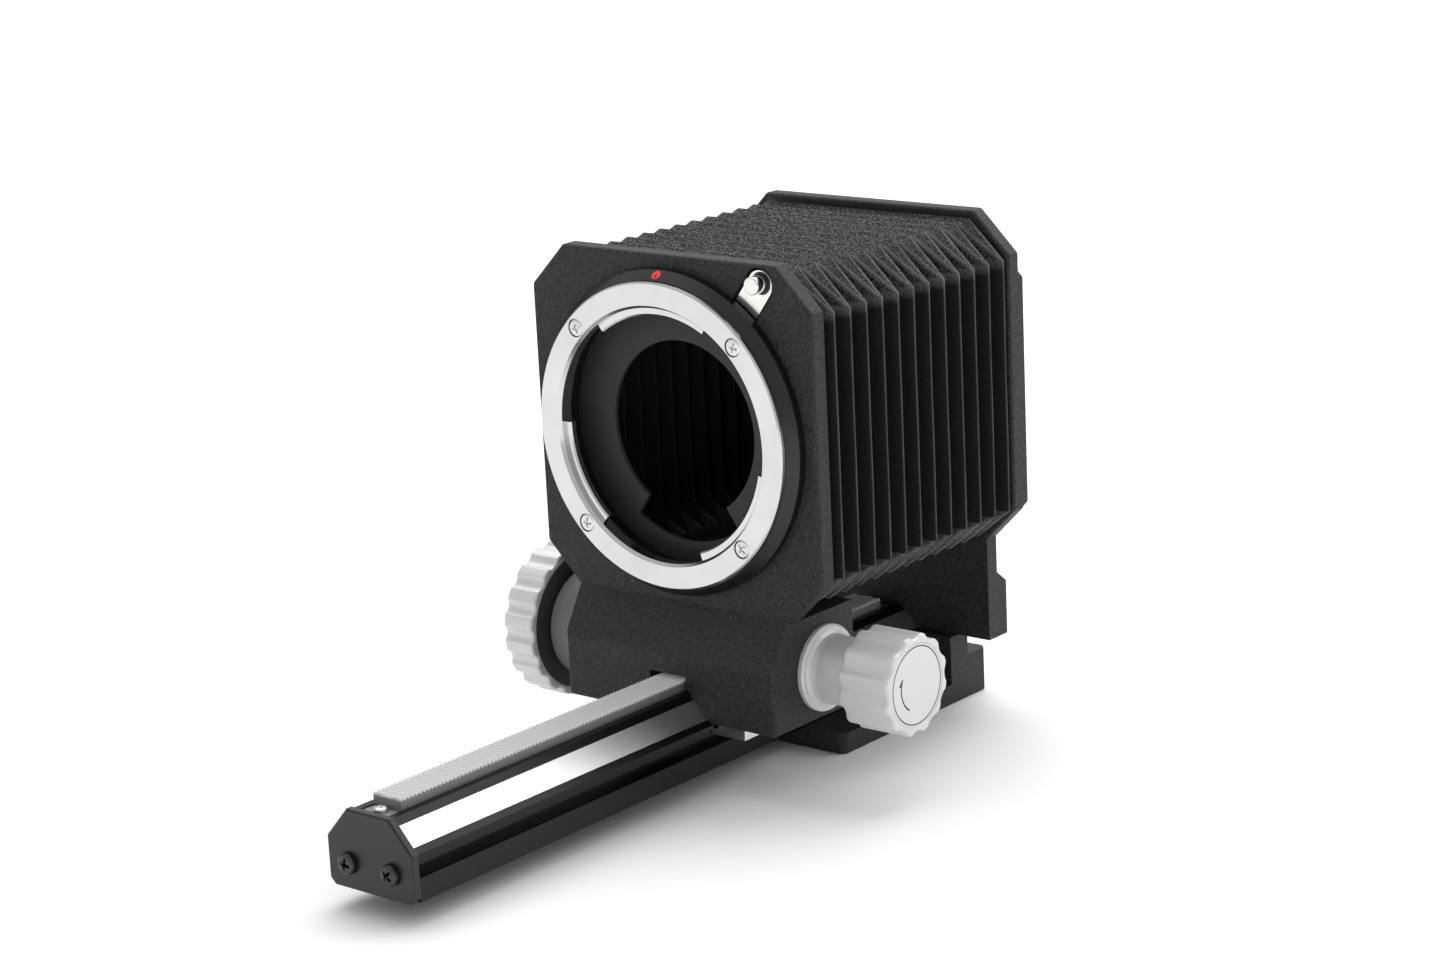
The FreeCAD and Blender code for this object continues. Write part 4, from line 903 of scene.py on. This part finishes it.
# Painted reflection: a disc round the stud is coloured nearly black, standing in for the dark
# surroundings that the polished plate reflects there.
dark = from_stud < 2.1 * MM
polish = plate.noise(plate.place(), 900.0, 3.0, 0.6)
plate.colour(plate.mix(dark, plate.mix(polish, grey(0.86, 0.03), grey(0.76, 0.03)), grey(0.012)))
plate.rough(0.16 + polish * 0.08 + dark * 0.25)
plug(plate.tree, plate.shader.inputs["Metallic"], 1.0 - dark)
finishes["lever"] = plate.material


def turned_stud():
    """A stud along Y from its (radius, y) profile, with a domed and rounded end."""
    wide = (stud_high.x - stud_low.x) / 2 / MM
    deep = (stud_high.y - stud_low.y) / MM
    bend = np.linspace(0, np.pi / 2, 6)
    edge = [(wide - 0.25 * (1 - math.sin(a)), 0.25 * (1 - math.cos(a))) for a in bend]
    foot = [(wide, deep - 0.3), (wide - 0.15, deep), (0.02, deep)]
    profile = [(0.02, 0.0), (0.5, 0.0)] + edge + foot
    profile = np.array(profile) * MM
    angle = np.linspace(0, 2 * np.pi, 64, endpoint=False)
    r, y = profile[:, :1] + 0 * angle, profile[:, 1:] + 0 * angle
    return np.stack([STUD_X + r * np.cos(angle), y + stud_low.y, STUD_Z + r * np.sin(angle)], -1)


stud_points = turned_stud()
stud_faces = grid_faces(*stud_points.shape[:2], wrap_rows=False).tolist()
ring = stud_points.shape[1]
stud_faces.append(list(range(ring)))
stud_faces.append([ring * (stud_points.shape[0] - 1) + k for k in range(ring)])
stud = new_piece("release_button", stud_points, stud_faces, 40.0)
finish_piece(stud, "nickel", "lens_release", "nickel", "release_stud")
print("release at x", round(STUD_X / MM, 2), "z", round(STUD_Z / MM, 2),
      "on a plate of", round((lever_high.y - lever_low.y) / MM, 2), "mm")

# %% [markdown]
# ## Finishes for the parts that keep their shape
#
# The castings, the rail and the turned rings are already exact, so they keep their meshes
# and take a finish.

# %% Finishes by part
WEARS = {
    "crinkle": ("front_standard", "rear_standard", "foot"),
    "turned_black": ("lens_mount_base", "camera_turntable"),
    "drawn_black": ("rail",),
    "plain_black": ("end_plate", "front_bellows_frame", "rear_bellows_frame", "mount_retainer"),
    "throat_black": ("light_baffle",),
    "chrome": ("lens_bayonet", "camera_bayonet"),
    "slideway": ("rail_strip_right", "rail_strip_left", "keeper_right", "keeper_left"),
    "zinc": ("rack",),
    "screw_steel": ("foot_screws", "keeper_screws", "drive_shaft", "clamp_screw", "wave_spring",
                    "release_spring", "tripod_bush"),
    "brass": ("pinion", "brake_pad"),
    "knob": ("clamp_collar", "drive_knob_cap"),
    "clamp_face": ("clamp_cap",),
    "boss": ("drive_housing",),
    # painted shade on the knob's inner face
    "knob_face_shade": ("drive_knob_disc",),
    "enamel": ("index_dot",),
    "lever": ("release_lever",),
}
for finish, names in WEARS.items():
    for name in names:
        nodes[name].data.materials.clear()
        nodes[name].data.materials.append(finishes[finish])
worn = [name for names in WEARS.values() for name in names]
left = [name for name in nodes if not nodes[name].hide_render and name not in worn]
print("parts still without a finish:", left)

# %% [markdown]
# ## Floor and light
#
# The object stands on a sheet of white card that fills the view. A wide sun, as large as a
# lit ceiling, comes from above and slightly behind, and lights the card evenly out to its
# far edge. A broad panel behind the object is what the bright slopes of the rail reflect,
# and the world adds even light from all sides, so that the shadows stay pale.

# %% Floor
card = Finish("white_card", Roughness=0.9, Specular_IOR_Level=0.1)
mottle = card.noise(card.place(), 30.0, 2.0, 0.5)
card.colour(card.mix(mottle, grey(0.93, 0.004), grey(0.95, 0.004)))
floor_mesh = bpy.data.meshes.new("floor")
REACH = 6.0
corners = [(-REACH, -REACH, 0), (REACH, -REACH, 0), (REACH, REACH, 0), (-REACH, REACH, 0)]
floor_mesh.from_pydata(corners, [], [(0, 1, 2, 3)])
floor = bpy.data.objects.new("floor", floor_mesh)
bpy.context.scene.collection.objects.link(floor)
floor_mesh.materials.append(card.material)
print("floor", 2 * REACH, "m wide")

# %% Lights
def soft_light(name, place, target, size, power):
    light = bpy.data.lights.new(name, "AREA")
    light.shape = "RECTANGLE"
    light.size, light.size_y = size
    light.energy = power
    lamp = bpy.data.objects.new(name, light)
    bpy.context.scene.collection.objects.link(lamp)
    aim = Vector(target) - Vector(place)
    facing = aim.to_track_quat("-Z", "Y").to_matrix().to_4x4()
    lamp.matrix_world = Matrix.Translation(place) @ facing


sun = bpy.data.lights.new("ceiling", "SUN")
sun.energy = 2.0
sun.angle = math.radians(55)
ceiling = bpy.data.objects.new("ceiling", sun)
bpy.context.scene.collection.objects.link(ceiling)
ceiling.matrix_world = Vector((0.3, -0.4, -1.0)).to_track_quat("-Z", "Y").to_matrix().to_4x4()
soft_light("backdrop_glow", (0.55, 1.5, 1.15), (0, -0.05, 0.03), (2.2, 1.2), 16.0)
world = bpy.data.worlds.new("studio")
world.use_nodes = True
world.node_tree.nodes["Background"].inputs["Color"].default_value = (1, 1, 1, 1)
world.node_tree.nodes["Background"].inputs["Strength"].default_value = 0.62
bpy.context.scene.world = world
bpy.context.scene.view_settings.view_transform = "Standard"
print("a sun, one panel and a pale world")
